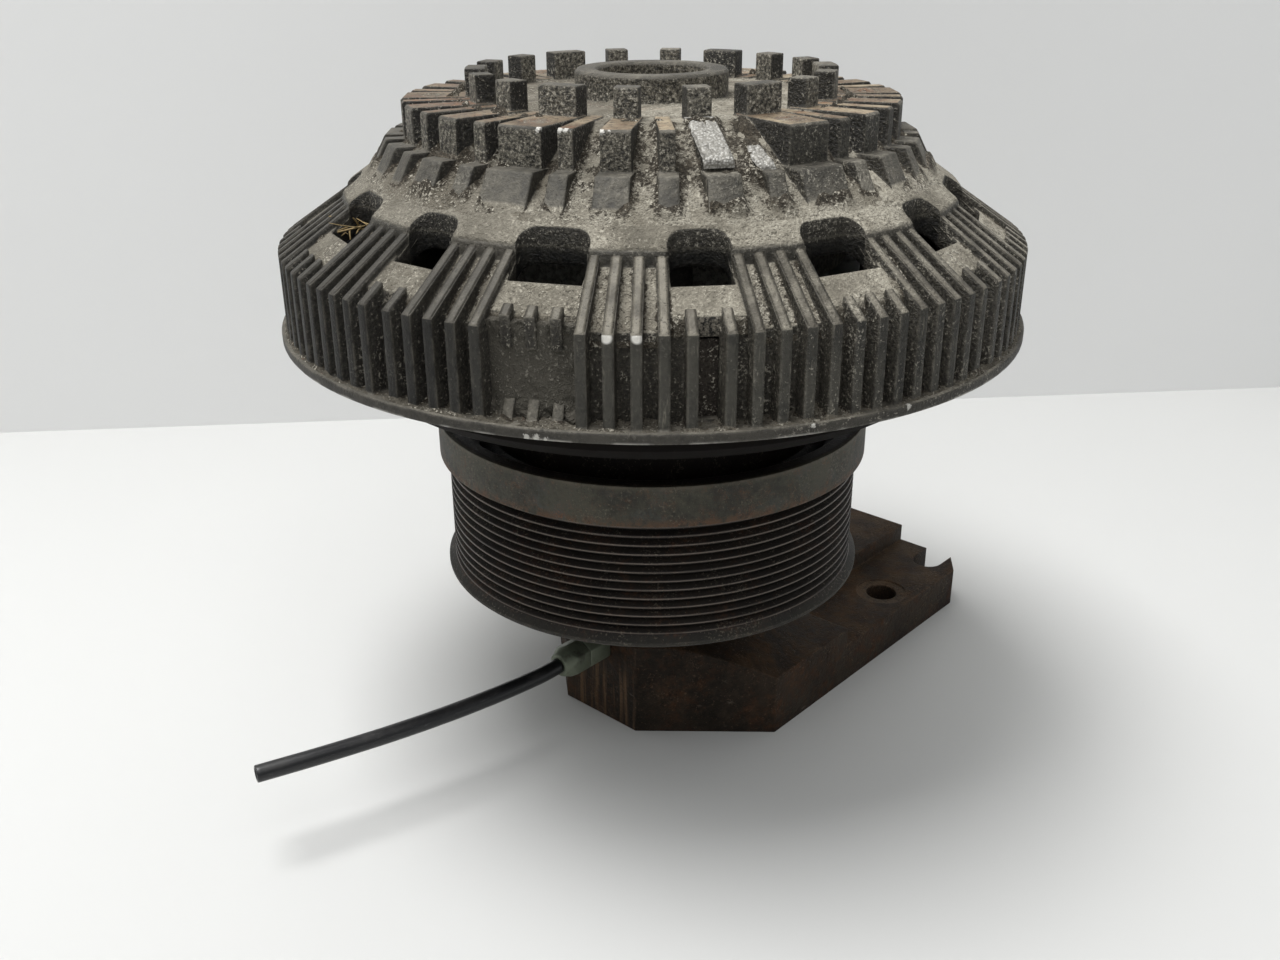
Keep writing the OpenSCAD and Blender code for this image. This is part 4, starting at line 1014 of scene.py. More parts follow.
@dataclass(frozen=True)
class PulleyIron(Finish):
    """Dark worn iron of the pulley: bright groove crests, mottled collar, oily recess."""

    name: str = "pulley_worn_iron"
    crest_r: float = 82.0
    belt_z: float = 73.64
    belt_top: float = 116.36
    pitch: float = 3.56
    collar_z: float = 118.2
    collar_top: float = 133.5
    collar_r: float = 85.5

    def shade(self, g: Graph, shader: bpy.types.Node, place: Socket, facing: Socket) -> None:
        """Thin light crests on brown grooves, grey-green collar with rust along its foot, black recess."""
        at = TURNED.use(g, Place=place, Facing=facing)
        r, z = at["Radius"], at["Height"]
        cast = CAST.use(g, Place=place, Scale=520.0, Pits=0.5)
        edge = EDGE.use(g, Place=place, Reach=0.0007)
        grit = GRIT.use(g, Place=place, Scale=1000.0, Density=0.0)
        rust = RUST.use(g, Place=place, Scale=70.0, Amount=0.42)
        fine_rust = RUST.use(g, Place=place, Scale=240.0, Amount=0.42)

        belt = g.band(z, self.belt_z - 0.3, self.belt_top + 0.3, 0.3)
        ridge = g.math("PINGPONG", g.plus(z, -self.belt_z), self.pitch / 2)
        crest = g.times(belt, g.rise(r, self.crest_r - 0.16, self.crest_r - 0.04), g.rise(ridge, 0.26, 0.08))
        rub = g.rise(g.noise(g.stretch(place, (1.0, 1.0, 14.0)), 26.0, 4.0, 0.6), 0.3, 0.6)
        collar = g.times(
            g.band(z, self.collar_z - 0.2, self.collar_top + 0.4, 0.6),
            g.rise(r, self.collar_r - 2.0, self.collar_r - 0.6),
        )
        inside = g.times(
            g.rise(z, self.collar_z + 1.0, self.collar_z + 3.0),
            g.rise(r, self.collar_r - 1.4, self.collar_r - 3.0),
        )
        flange = g.rise(z, self.belt_z - 0.4, self.belt_z - 1.6)

        bloom = g.rise(g.noise(place, 120.0, 4.0, 0.7), 0.5, 0.66)
        band_tone = g.layers(
            Span.COLLAR.over(g, g.rise(cast["Tone"], 0.38, 0.6)), [(bloom, 0.6, Tone.COLLAR_BLOOM)]
        )
        low = g.rise(z, self.collar_z + 5.5, self.collar_z + 0.5)
        blotch = g.rise(g.noise(place, 260.0, 4.0, 0.7), 0.4, 0.58)
        foot = g.times(collar, g.rise(z, self.collar_z + 3.6, self.collar_z + 0.8), blotch)
        high = g.rise(z, self.collar_top - 2.2, self.collar_top - 0.4)
        worn = g.times(edge["Mask"], g.flip(belt), 0.6)
        colour = g.layers(Span.PULLEY.over(g, g.rise(cast["Tone"], 0.36, 0.62)), [
            (belt, 0.6, Span.GROOVE.over(g, rub)),
            (rust["Mask"], 0.28, rust["Colour"]),
            (collar, 0.95, band_tone),
            (g.times(collar, fine_rust["Mask"], g.lerp(low, 0.5, 1.0)), 1.0, fine_rust["Colour"]),
            (foot, 0.85, Tone.COLLAR_RUST),
            (g.times(collar, high, g.flip(g.times(blotch, 0.7))), 0.6, Tone.COLLAR_BRIM),
            (flange, 0.6, Span.FLANGE.over(g, cast["Tone"])),
            (inside, 0.9, Span.RECESS.over(g, cast["Tone"])),
            (g.times(crest, g.lerp(rub, 0.25, 0.8)), 1.0, Tone.GROOVE_CREST),
            (worn, 1.0, Tone.PULLEY_WORN),
            (grit["Pale"], 0.35, Tone.PULLEY_PALE),
            (grit["Dark"], 0.5, Tone.PULLEY_DARK),
        ])

        g.put(shader.inputs["Base Color"], colour)
        g.put(shader.inputs["Roughness"], g.lerp(crest, g.lerp(inside, g.lerp(worn, 0.62, 0.44), 0.42), 0.36))
        g.put(shader.inputs["Metallic"], g.times(g.most(crest, worn), 0.6))
        shader.inputs["Specular IOR Level"].default_value = 0.35
        self.relief(g, shader, g.plus(cast["Relief"], g.times(grit["Pale"], 0.3)), 0.0003, edge["Normal"])


@dataclass(frozen=True)
class BracketIron(Finish):
    """Brown rusty cast iron of the bracket."""

    name: str = "bracket_rusty_iron"
    bolt_x: float = 0.1087
    bolt_y: float = 0.049
    spot_r: float = 0.0118
    nose_top_z: Fade = (0.036, 0.02)

    def shade(self, g: Graph, shader: bpy.types.Node, place: Socket, facing: Socket) -> None:
        """Brown rust in patches, streaks down the nose, pale rings round the bolt holes, scuffed edges."""
        x, y, z = g.split(place)
        nx, _, up = g.split(facing)
        cast = CAST.use(g, Place=place, Scale=300.0, Pits=0.9)
        edge = EDGE.use(g, Place=place, Reach=0.0014)
        grit = GRIT.use(g, Place=place, Scale=800.0, Density=0.0)
        rust = RUST.use(g, Place=place, Scale=34.0, Amount=0.46)
        top = g.rise(up, 0.5, 0.9)
        cloud = g.rise(g.noise(place, 60.0, 4.0, 0.7), 0.36, 0.64)
        streak = g.noise(g.stretch(place, (1.0, 1.0, 0.06)), 330.0, 3.0, 0.6)
        nose = g.times(g.rise(nx, -0.7, -0.95), g.rise(streak, 0.46, 0.66), g.rise(z, *self.nose_top_z))
        side = g.math("SUBTRACT", g.math("ABSOLUTE", y), self.bolt_y)
        along = g.math("SUBTRACT", x, self.bolt_x)
        away = g.math("SQRT", g.plus(g.times(side, side), g.times(along, along)))
        ring = g.times(g.rise(away, self.spot_r + 0.0008, self.spot_r - 0.0008), top)
        rubbed = g.rise(g.noise(place, 190.0, 4.0, 0.7), 0.3, 0.6)
        worn = g.times(edge["Mask"], 0.5)
        scuff = g.rise(g.noise(g.stretch(place, (1.0, 1.0, 3.0)), 85.0, 5.0, 0.75), 0.62, 0.74)
        colour = g.layers(Span.BRACKET.over(g, g.rise(cast["Tone"], 0.36, 0.62)), [
            (rust["Mask"], 0.25, rust["Colour"]),
            (top, 0.55, Span.BRACKET_TOP.over(g, cloud)),
            (nose, 0.55, Tone.NOSE_STREAK),
            (g.times(ring, rubbed), 0.4, Tone.BOLT_RING),
            (worn, 1.0, Tone.BRACKET_WORN),
            (g.times(scuff, g.rise(up, 0.5, 0.2)), 0.3, Tone.SCUFF),
            (grit["Pale"], 0.3, Tone.BRACKET_PALE),
            (grit["Dark"], 0.6, Tone.BRACKET_DARK),
        ])
        g.put(shader.inputs["Base Color"], colour)
        g.put(shader.inputs["Roughness"], g.lerp(worn, g.lerp(rust["Mask"], 0.62, 0.86), 0.5))
        shader.inputs["Specular IOR Level"].default_value = 0.14
        height = g.plus(cast["Relief"], g.times(rust["Mask"], 0.25), g.times(grit["Pale"], 0.3))
        self.relief(g, shader, height, 0.0007, edge["Normal"])


@dataclass(frozen=True)
class WornMetal(Finish):
    """Metal with turning marks, tonal patches, grime and worn edges."""

    name: str
    dark: Rgb
    light: Rgb
    rough: float = 0.4
    metal: float = 0.8
    grime: float = 0.3
    rust: float = 0.2
    reach: float = 0.0005
    gloss: float = 0.5

    def shade(self, g: Graph, shader: bpy.types.Node, place: Socket, facing: Socket) -> None:
        """Fine rings round the shaft from a noise on radius and height, with grime and rust over them."""
        at = TURNED.use(g, Place=place, Facing=facing)
        rings = g.node("ShaderNodeCombineXYZ")
        g.put(rings.inputs[0], at["Radius"])
        g.put(rings.inputs[1], at["Height"])
        turned = g.noise(rings.outputs[0], 3.2, 2.0, 0.6)
        cast = CAST.use(g, Place=place, Scale=600.0, Pits=0.2)
        edge = EDGE.use(g, Place=place, Reach=self.reach)
        rust = RUST.use(g, Place=place, Scale=80.0, Amount=self.rust)
        dirt = g.rise(g.plus(g.noise(place, 130.0, 4.0, 0.7), self.grime), 0.75, 1.05)
        grime = paint(*(min(c, round(d * 0.6)) for c, d in zip(Tone.OILY_GRIME.value, self.dark)))
        bright = paint(*(min(255, c + 46) for c in self.light))
        share = g.plus(g.times(turned, 0.5), g.times(cast["Tone"], 0.5))
        colour = g.layers(g.mix(share, paint(*self.dark), paint(*self.light)), [
            (dirt, 0.7, grime),
            (rust["Mask"], 1.0, rust["Colour"]),
            (edge["Mask"], 0.4, bright),
        ])
        g.put(shader.inputs["Base Color"], colour)
        polish = g.lerp(turned, self.rough - 0.08, self.rough + 0.1)
        g.put(shader.inputs["Roughness"], g.lerp(g.most(dirt, rust["Mask"]), polish, 0.75))
        shader.inputs["Metallic"].default_value = self.metal
        shader.inputs["Specular IOR Level"].default_value = self.gloss
        self.relief(
            g, shader, g.plus(g.times(turned, 0.5), g.times(cast["Relief"], 0.5)), 0.00012, edge["Normal"]
        )


@dataclass(frozen=True)
class MouldedBlack(Finish):
    """Black polymer: nylon, rubber or friction material."""

    name: str
    dark: Rgb
    light: Rgb
    rough: float
    grain: float
    depth: float

    def shade(self, g: Graph, shader: bpy.types.Node, place: Socket, facing: Socket) -> None:
        """A fine moulded grain with thin dust and faint scratches along the piece."""
        _, _, up = g.split(facing)
        grain = g.noise(place, self.grain, 3.0, 0.6)
        scratch = g.rise(g.noise(g.stretch(place, (0.08, 1.0, 1.0)), 1400.0, 2.0, 0.6), 0.6, 0.72)
        dust = DUST.use(g, Place=place, Up=up, Cloud=g.noise(place, 55.0, 3.0), Amount=0.3)["Mask"]
        colour = g.layers(g.mix(grain, paint(*self.dark), paint(*self.light)), [
            (scratch, 0.18, Tone.SCRATCH),
            (dust, 0.1, Tone.THIN_DUST),
        ])
        g.put(shader.inputs["Base Color"], colour)
        g.put(shader.inputs["Roughness"], g.lerp(g.most(dust, scratch), self.rough, self.rough + 0.22))
        self.relief(g, shader, grain, self.depth)


@dataclass(frozen=True)
class BrokenMetal(Finish):
    """Pale crystalline aluminium of a broken rib."""

    name: str = "broken_casting"

    def shade(self, g: Graph, shader: bpy.types.Node, place: Socket, facing: Socket) -> None:
        """Small bright and dull grains, with grey dirt in the hollows."""
        grains = g.cells(place, 1100.0)
        tone = g.noise(place, 420.0, 3.0, 0.7)
        colour = Span.FRACTURE.over(g, g.rise(grains, 0.2, 0.6))
        colour = g.layers(colour, [(g.rise(tone, 0.52, 0.66), 0.7, Tone.FRACTURE_DIRT)])
        g.put(shader.inputs["Base Color"], colour)
        g.put(shader.inputs["Roughness"], g.lerp(grains, 0.42, 0.7))
        shader.inputs["Metallic"].default_value = 0.25
        self.relief(g, shader, grains, 0.0004)


@dataclass(frozen=True)
class DryStraw(Finish):
    """Dry plant fibre caught in a window."""

    name: str = "dry_straw"

    def shade(self, g: Graph, shader: bpy.types.Node, place: Socket, facing: Socket) -> None:
        """Straw yellow that changes along the fibres."""
        tone = g.noise(place, 240.0, 4.0, 0.7)
        g.put(shader.inputs["Base Color"], Span.STRAW.over(g, tone))
        g.put(shader.inputs["Roughness"], g.lerp(tone, 0.6, 0.85))


@dataclass(frozen=True)
class StagePaper(Finish):
    """Plain pale surface of the floor or the backdrop."""

    name: str
    light: Rgb
    one_sided: bool = False

    def shade(self, g: Graph, shader: bpy.types.Node, place: Socket, facing: Socket) -> None:
        """An even pale tone; a one-sided backdrop can't be seen from behind."""
        tone = g.noise(place, 3.0, 2.0, 0.5)
        base = paint(*self.light)
        paler = tuple(min(1.0, c * 1.04) for c in base[:3]) + (1.0,)
        g.put(shader.inputs["Base Color"], g.mix(tone, base, paler))
        shader.inputs["Roughness"].default_value = 0.7
        if self.one_sided:
            back = g.node("ShaderNodeNewGeometry").outputs["Backfacing"]
            clear = g.node("ShaderNodeBsdfTransparent")
            choice = g.node("ShaderNodeMixShader")
            end = next(n for n in g.tree.nodes if n.type == "OUTPUT_MATERIAL")
            g.put(choice.inputs[0], back)
            g.put(choice.inputs[1], shader.outputs[0])
            g.put(choice.inputs[2], clear.outputs[0])
            g.put(end.inputs["Surface"], choice.outputs[0])


HOUSING = HousingCasting()
PULLEY_IRON = PulleyIron()
BRACKET_IRON = BracketIron()
MACHINED = WornMetal("machined_steel_turned", (96, 92, 86), (158, 154, 147), 0.38, 0.85, 0.34, 0.22)
BEARING = WornMetal("bearing_steel_ground", (148, 147, 145), (196, 196, 194), 0.22, 0.95, 0.12, 0.0)
CAGE = WornMetal("cage_brass_satin", (146, 118, 62), (196, 166, 98), 0.36, 0.9, 0.2, 0.0)
# Iron of the magnet rotor, made near black and matte as painted shade under the housing's lip
ROTOR_IN_SHADE = WornMetal("rotor_iron_painted_shade", (12, 10, 9), (24, 20, 17), 0.85, 0.0, 0.3, 0.0, 0.0005, 0.12)
MAGNET = WornMetal("magnet_grey_coat", (62, 62, 64), (88, 88, 90), 0.5, 0.3, 0.3, 0.1)
EDDY = PackedDirt("eddy_ring_rusty", (64, 58, 52), (108, 101, 93), (26, 23, 21), (82, 76, 69), 0.3, 0.85)
FITTING = WornMetal("fitting_grey_green", (84, 91, 76), (124, 130, 112), 0.46, 0.35, 0.26, 0.12, 0.0008)
CAP = WornMetal("cap_dusty_steel", (98, 91, 78), (134, 126, 110), 0.7, 0.2, 0.24, 0.34)
SPRING = WornMetal("spring_oiled_steel", (82, 82, 86), (132, 132, 136), 0.3, 0.9, 0.3, 0.05)
PISTON = WornMetal("piston_machined_aluminium", (128, 128, 126), (172, 172, 170), 0.36, 0.85, 0.25, 0.0)
NYLON = MouldedBlack("nylon_black", (12, 12, 14), (22, 22, 24), 0.32, 900.0, 0.00004)
RUBBER = MouldedBlack("seal_rubber_matte", (20, 20, 20), (38, 37, 36), 0.72, 1600.0, 0.0001)
LINING = MouldedBlack("lining_pressed", (52, 43, 33), (96, 82, 66), 0.86, 700.0, 0.0003)
DIRT = PackedDirt()
LIP_DIRT = PackedDirt("packed_lip_dirt", (94, 89, 79), (130, 124, 111), (58, 54, 47), (72, 68, 60), 0.34, 0.6)
RUSTY_DIRT = PackedDirt("packed_rusty_dirt", rusty=0.5)
ERODED = PackedDirt("eroded_casting", (90, 86, 78), (106, 102, 93), (66, 62, 55), (88, 85, 77), 0.2, 0.25)
BROKEN = BrokenMetal()
STRAW = DryStraw()
FLOOR = StagePaper("stage_floor", (207, 207, 205))
WALL = StagePaper("stage_wall", (230, 230, 229), True)


def mesh_object(
    name: str, points: np.ndarray, faces: np.ndarray, finish: Finish,
    smooth: bool = True, corner: np.ndarray | None = None,
) -> bpy.types.Object:
    """Puts computed points and faces into a mesh at the origin.

    Args:
        name: Name of the piece.
        points: Points in metres, one a row.
        faces: Point numbers of four-sided faces, one a row.
        finish: Finish of the whole piece.
        smooth: Shades the faces smoothly.
        corner: How close each point is to a corner that holds black dirt and painted shade, from 0 to 1.

    Returns:
        The new object.
    """
    mesh = bpy.data.meshes.new(name)
    count = len(faces)
    mesh.vertices.add(len(points))
    mesh.vertices.foreach_set("co", np.ascontiguousarray(points, np.float32).ravel())
    mesh.loops.add(faces.size)
    mesh.loops.foreach_set("vertex_index", np.ascontiguousarray(faces, np.int32).ravel())
    mesh.polygons.add(count)
    mesh.polygons.foreach_set("loop_start", np.arange(0, faces.size, faces.shape[1], dtype=np.int32))
    mesh.polygons.foreach_set("use_smooth", np.full(count, smooth))
    mesh.update(calc_edges=True)
    if corner is not None:
        values = mesh.attributes.new("corner", "FLOAT", "POINT").data
        values.foreach_set("value", np.ascontiguousarray(corner, np.float32))
    mesh.validate()
    mesh.materials.append(finish.material())
    made = bpy.data.objects.new(name, mesh)
    bpy.context.scene.collection.objects.link(made)
    return made


def grid_faces(rows: int, columns: int, closed: bool) -> np.ndarray:
    """Four-sided faces of a grid of points numbered row by row.

    Args:
        rows: Points along the first parameter.
        columns: Points along the second parameter.
        closed: Joins the last column to the first.

    Returns:
        Point numbers, one face a row.
    """
    i, j = np.meshgrid(np.arange(rows - 1), np.arange(columns if closed else columns - 1), indexing="ij")
    k = (j + 1) % columns
    quads = np.stack(
        [i * columns + j, i * columns + k, (i + 1) * columns + k, (i + 1) * columns + j], axis=-1
    )
    return quads.reshape(-1, 4)


def smooth_route(points: np.ndarray, steps: int) -> np.ndarray:
    """A Catmull-Rom curve: each span is the cubic through its ends with slopes from their neighbours.

    Args:
        points: Route points, one a row.
        steps: Points in each span.

    Returns:
        Points along the curve, one a row.
    """
    ends = np.vstack([2 * points[0] - points[1], points, 2 * points[-1] - points[-2]])
    t = np.linspace(0.0, 1.0, steps, endpoint=False)[None, :, None]
    a, b, c, d = (ends[k : len(ends) - 3 + k][:, None, :] for k in range(4))
    curve = 0.5 * (2 * b + (c - a) * t + (2 * a - 5 * b + 4 * c - d) * t**2 + (3 * b - a - 3 * c + d) * t**3)
    return np.vstack([curve.reshape(-1, 3), points[-1:]])


def frames_along(path: np.ndarray) -> tuple[np.ndarray, np.ndarray, np.ndarray]:
    """Headings of a path and two directions square to each, with the first of them level.

    Args:
        path: Points along the path, one a row.

    Returns:
        Unit headings, sideways and upward directions.
    """
    heading = np.gradient(path, axis=0)
    heading /= np.linalg.norm(heading, axis=1, keepdims=True)
    side = np.cross(np.array([0.0, 0.0, 1.0]), heading)
    side /= np.maximum(np.linalg.norm(side, axis=1, keepdims=True), 1e-9)
    return heading, side, np.cross(heading, side)


def circle_spokes(side: np.ndarray, upward: np.ndarray, sides: int) -> np.ndarray:
    """Unit vectors round a path: cosine of a turn times sideways plus sine of it times upward.

    Args:
        side: Sideways directions, one a row.
        upward: Upward directions, one a row.
        sides: Vectors at each point of the path.

    Returns:
        The vectors, by path point and turn.
    """
    turn = np.linspace(0.0, 2 * np.pi, sides, endpoint=False)[None, :, None]
    return np.cos(turn) * side[:, None, :] + np.sin(turn) * upward[:, None, :]


def rings_along(path: np.ndarray, radius: np.ndarray, sides: int) -> np.ndarray:
    """Circles of a changing radius carried along a path: path point plus radius times a turning unit vector.

    Args:
        path: Points along the path, one a row.
        radius: Radius at each point.
        sides: Points on each circle.

    Returns:
        Points, circle by circle.
    """
    _, side, upward = frames_along(path)
    return (path[:, None, :] + radius[:, None, None] * circle_spokes(side, upward, sides)).reshape(-1, 3)


def round_shaft(r: np.ndarray, a: np.ndarray, z: np.ndarray) -> np.ndarray:
    """Points round the shaft: radius times the cosine and the sine of the angle, then the height.

    Args:
        r: Radii in millimetres.
        a: Angles in degrees.
        z: Heights in millimetres.

    Returns:
        Points in metres, one a row.
    """
    turn = np.radians(a)
    return np.stack([r * np.cos(turn), r * np.sin(turn), z], axis=-1).reshape(-1, 3) * MM


def settle(piece: bpy.types.Object) -> bpy.types.Object:
    """Lets a new piece turn with the fan housing, and logs it.

    Args:
        piece: The new piece.

    Returns:
        The same piece.
    """
    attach(piece, Body.FAN.value)
    LOG.info("built %s", piece.name)
    return piece


@dataclass(frozen=True)
class SoftEdges:
    """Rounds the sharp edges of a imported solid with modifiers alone."""

    width: float
    angle: float = 48.0
    segments: int = 2
    sharp: float = 32.0

    def shading(self) -> bpy.types.NodeTree:
        """Geometry nodes that shade smoothly up to an angle and drop the imported normals."""
        found = bpy.data.node_groups.get("smooth_by_angle")
        if found is not None:
            return found
        tree = bpy.data.node_groups.new("smooth_by_angle", "GeometryNodeTree")
        tree.interface.new_socket("Mesh", in_out="INPUT", socket_type="NodeSocketGeometry")
        tree.interface.new_socket("Mesh", in_out="OUTPUT", socket_type="NodeSocketGeometry")
        graph = Graph(tree)
        start, end = graph.node("NodeGroupInput"), graph.node("NodeGroupOutput")
        normal = graph.node("GeometryNodeSetMeshNormal")
        angle = graph.node("GeometryNodeInputMeshEdgeAngle")
        sharp = graph.node("FunctionNodeCompare", data_type="FLOAT", operation="GREATER_THAN")
        sharp.inputs[1].default_value = math.radians(self.sharp)
        graph.put(sharp.inputs[0], angle.outputs[0])
        graph.put(normal.inputs["Mesh"], start.outputs[0])
        graph.put(normal.inputs["Edge Sharpness"], sharp.outputs[0])
        graph.put(end.inputs[0], normal.outputs[0])
        return tree

    def apply(self, piece: bpy.types.Object) -> None:
        """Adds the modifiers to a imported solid."""
        weld = piece.modifiers.new("join", "WELD")
        weld.merge_threshold = TINY
        if self.width > 0:
            bevel = piece.modifiers.new("soften", "BEVEL")
            bevel.width = self.width
            bevel.segments = self.segments
            bevel.limit_method = "ANGLE"
            bevel.angle_limit = math.radians(self.angle)
            bevel.use_clamp_overlap = False
        shade = piece.modifiers.new("shade", "NODES")
        shade.node_group = self.shading()


def dress(nodes: Sequence[str], finish: Finish, edges: SoftEdges | None = None) -> None:
    """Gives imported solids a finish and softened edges.

    Args:
        nodes: Names of the solids.
        finish: Their finish.
        edges: How their edges are rounded.
    """
    for name in nodes:
        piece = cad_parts[name]
        piece.data.materials.clear()
        piece.data.materials.append(finish.material())
        if edges is not None:
            edges.apply(piece)
        LOG.info("dressed %s in %s", name, finish.name)


@dataclass
class AirTube:
    """The short cut-off air tube that leaves the fitting."""

    start: Point = (-0.057, 0.0, 0.035)
    diameter: float = 0.00635
    bore_share: float = 0.64
    rim: float = 0.0004
    steps: int = 6
    sides: int = 28
    bore_points: int = 30
    route: list[Point] = field(default_factory=lambda: [
        (0, 0, 0), (-7.5, 0, 0), (-15, 0.7, 0), (-22.5, 1.7, 0), (-30, 2.9, 0), (-37.5, 4.3, 0),
        (-45, 5.8, 0), (-52.5, 7.4, 0.1), (-60, 9.1, 0.2), (-67.5, 11, 0.3), (-75, 13, 0.4),
        (-82.5, 15.2, 0.5), (-90, 17.5, 0.6), (-97.5, 19.9, 0.7), (-105, 22.4, 0.8), (-113, 25.2, 0.9),
        (-121.5, 28.2, 1),
    ])

    def path(self) -> np.ndarray:
        """Centreline of the tube in metres."""
        return smooth_route(np.array(self.start) + np.array(self.route, float) * MM, self.steps)

    def build(self) -> bpy.types.Object:
        """A hollow tube: the wall outside, a rounded rim at the cut end, and the bore some way back into it.

        Returns:
            The tube.
        """
        path = self.path()
        radius = self.diameter / 2
        rim = self.rim
        heading = path[-1] - path[-2]
        heading /= np.linalg.norm(heading)
        inner = radius * self.bore_share
        end = path[-1] - heading * rim * np.array([1.0, 0.3, 0.0, 0.0, 0.4])[:, None]
        back = path[-2 : -self.bore_points : -1]
        line = np.vstack([path[:1], path[:-1], end, back, back[-1:]])
        last = len(path) - 1
        sizes = np.concatenate([
            [TINY],
            np.full(last, radius),
            [radius, radius - rim * 0.3, radius - rim, inner + rim, inner],
            np.full(len(back), inner),
            [TINY],
        ])
        order = np.concatenate([
            [0],
            np.arange(last),
            np.full(len(end), last),
            np.arange(last - 1, last - 1 - len(back), -1),
            [last - len(back)],
        ])
        _, side, upward = frames_along(path)
        spokes = circle_spokes(side[order], upward[order], self.sides)
        points = (line[:, None, :] + sizes[:, None, None] * spokes).reshape(-1, 3)
        tube = mesh_object("air_tube_hollow", points, grid_faces(len(line), self.sides, True)[:, ::-1], NYLON)
        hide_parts("air_tube")
        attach(tube, Body.BRACKET.value)
        return tube


@dataclass
class BracketUnit:
    """The journal bracket with its spindle, inner races and air fitting."""

    edges: SoftEdges = SoftEdges(0.00022)
    steel: tuple[str, ...] = ("spindle", "race_spacer", "lock_washer", "spindle_nut", "fan_bearing_nut")
    races: tuple[str, ...] = ("rear_inner_race", "front_inner_race", "fan_inner_race")
    fittings: tuple[str, ...] = ("air_fitting_body", "air_fitting_nut")
    tube: AirTube = field(default_factory=AirTube)

    def build(self) -> None:
        """Dresses the bracket's solids and makes the tube."""
        dress(["mounting_bracket"], BRACKET_IRON, self.edges)
        dress(self.steel, MACHINED)
        dress(self.races, BEARING)
        dress(self.fittings, FITTING, SoftEdges(0.0004))
        self.tube.build()


@dataclass
class PulleyUnit:
    """The belt pulley with its outer races, seals and magnet rotor."""

    edges: SoftEdges = SoftEdges(0.0)

    def build(self) -> None:
        """Dresses the pulley's solids."""
        dress(["pulley"], PULLEY_IRON, self.edges)
        dress(["rear_outer_race", "front_outer_race"], BEARING)
        dress(["pulley_snap_ring", "front_grease_shield", "rotor_screws"], MACHINED)
        dress(["rear_grease_seal"], RUBBER)
        dress(["magnet_rotor"], ROTOR_IN_SHADE, SoftEdges(0.0005))
        dress(["rotor_magnets"], MAGNET)


@dataclass
class BrokenRib:
    """Granular face where a front rib has broken off on a slope."""

    name: str
    angle: float
    half_width: float
    section: list[tuple[float, float]]
    seed: int
    lump: float = 0.7
    rows: int = 70
    columns: int = 44
    border: float = 0.16
    sizes: tuple[tuple[int, float], ...] = ((6, 1.0), (2, 0.5), (1, 0.22))

    def build(self) -> bpy.types.Object:
        """The rib's broken section carried across its width, plus smoothed lumps that fade at the border.

        Returns:
            The broken face.
        """
        line = np.array(self.section, float)
        along = np.concatenate([[0.0], np.cumsum(np.linalg.norm(np.diff(line, axis=0), axis=1))])
        s = np.linspace(0.0, along[-1], self.rows)
        r, z = np.interp(s, along, line[:, 0]), np.interp(s, along, line[:, 1])
        across = np.linspace(-self.half_width, self.half_width, self.columns)
        random = np.random.default_rng(self.seed)
        shape = (self.rows, self.columns)
        lumps = sum(self.soften(random.standard_normal(shape), reach) * share for reach, share in self.sizes)
        u, v = np.linspace(-1, 1, self.rows)[:, None], np.linspace(-1, 1, self.columns)[None, :]
        border = np.clip((1 - np.maximum(np.abs(u), np.abs(v))) / self.border, 0, 1)
        height = border * (0.25 + self.lump * (lumps - lumps.min()) / np.ptp(lumps)) - (1 - border) * 0.5
        slope_r, slope_z = np.gradient(r, s), np.gradient(z, s)
        rr = r[:, None] + (-slope_z)[:, None] * height
        zz = z[:, None] + slope_r[:, None] * height
        a = math.radians(self.angle)
        x = rr * math.cos(a) - across[None, :] * math.sin(a)
        y = rr * math.sin(a) + across[None, :] * math.cos(a)
        points = np.stack([x, y, zz + 0 * x], axis=-1).reshape(-1, 3) * MM
        return settle(mesh_object(self.name, points, grid_faces(self.rows, self.columns, False), BROKEN))

    @staticmethod
    def soften(numbers: np.ndarray, reach: int) -> np.ndarray:
        """Random numbers averaged over a square window and scaled to unit spread.

        Args:
            numbers: Random numbers on a grid.
            reach: Half width of the window.

        Returns:
            The softened grid.
        """
        kernel = np.hanning(2 * reach + 3)[1:-1]
        kernel /= kernel.sum()
        result = numbers
        for axis in (0, 1):
            result = np.apply_along_axis(lambda line: np.convolve(line, kernel, mode="same"), axis, result)
        return result / result.std()


def soft_noise(shape: tuple[int, int], reach: float, seed: int) -> np.ndarray:
    """Random numbers smoothed by a Gaussian in the frequency domain, so the columns join up round a circle.

    Args:
        shape: Rows and columns.
        reach: Width of the Gaussian in cells.
        seed: Seed of the random numbers.

    Returns:
        A smooth field with zero mean and unit spread.
    """
    waves = np.fft.rfft2(np.random.default_rng(seed).standard_normal(shape))
    rows, columns = np.fft.fftfreq(shape[0])[:, None], np.fft.rfftfreq(shape[1])[None, :]
    made = np.fft.irfft2(waves * np.exp(-2.0 * (np.pi * reach) ** 2 * (rows**2 + columns**2)), s=shape)
    return (made - made.mean()) / made.std()


def fall_off(gap: np.ndarray, reach: float) -> np.ndarray:
    """A share that is 1 at a side and falls off with the distance from it, as e to the power of -gap / reach.

    Args:
        gap: Distance from the side, below 0 inside it.
        reach: Distance over which the share falls to about a third.

    Returns:
        The share.
    """
    return np.exp(-np.maximum(gap, 0.0) / reach)


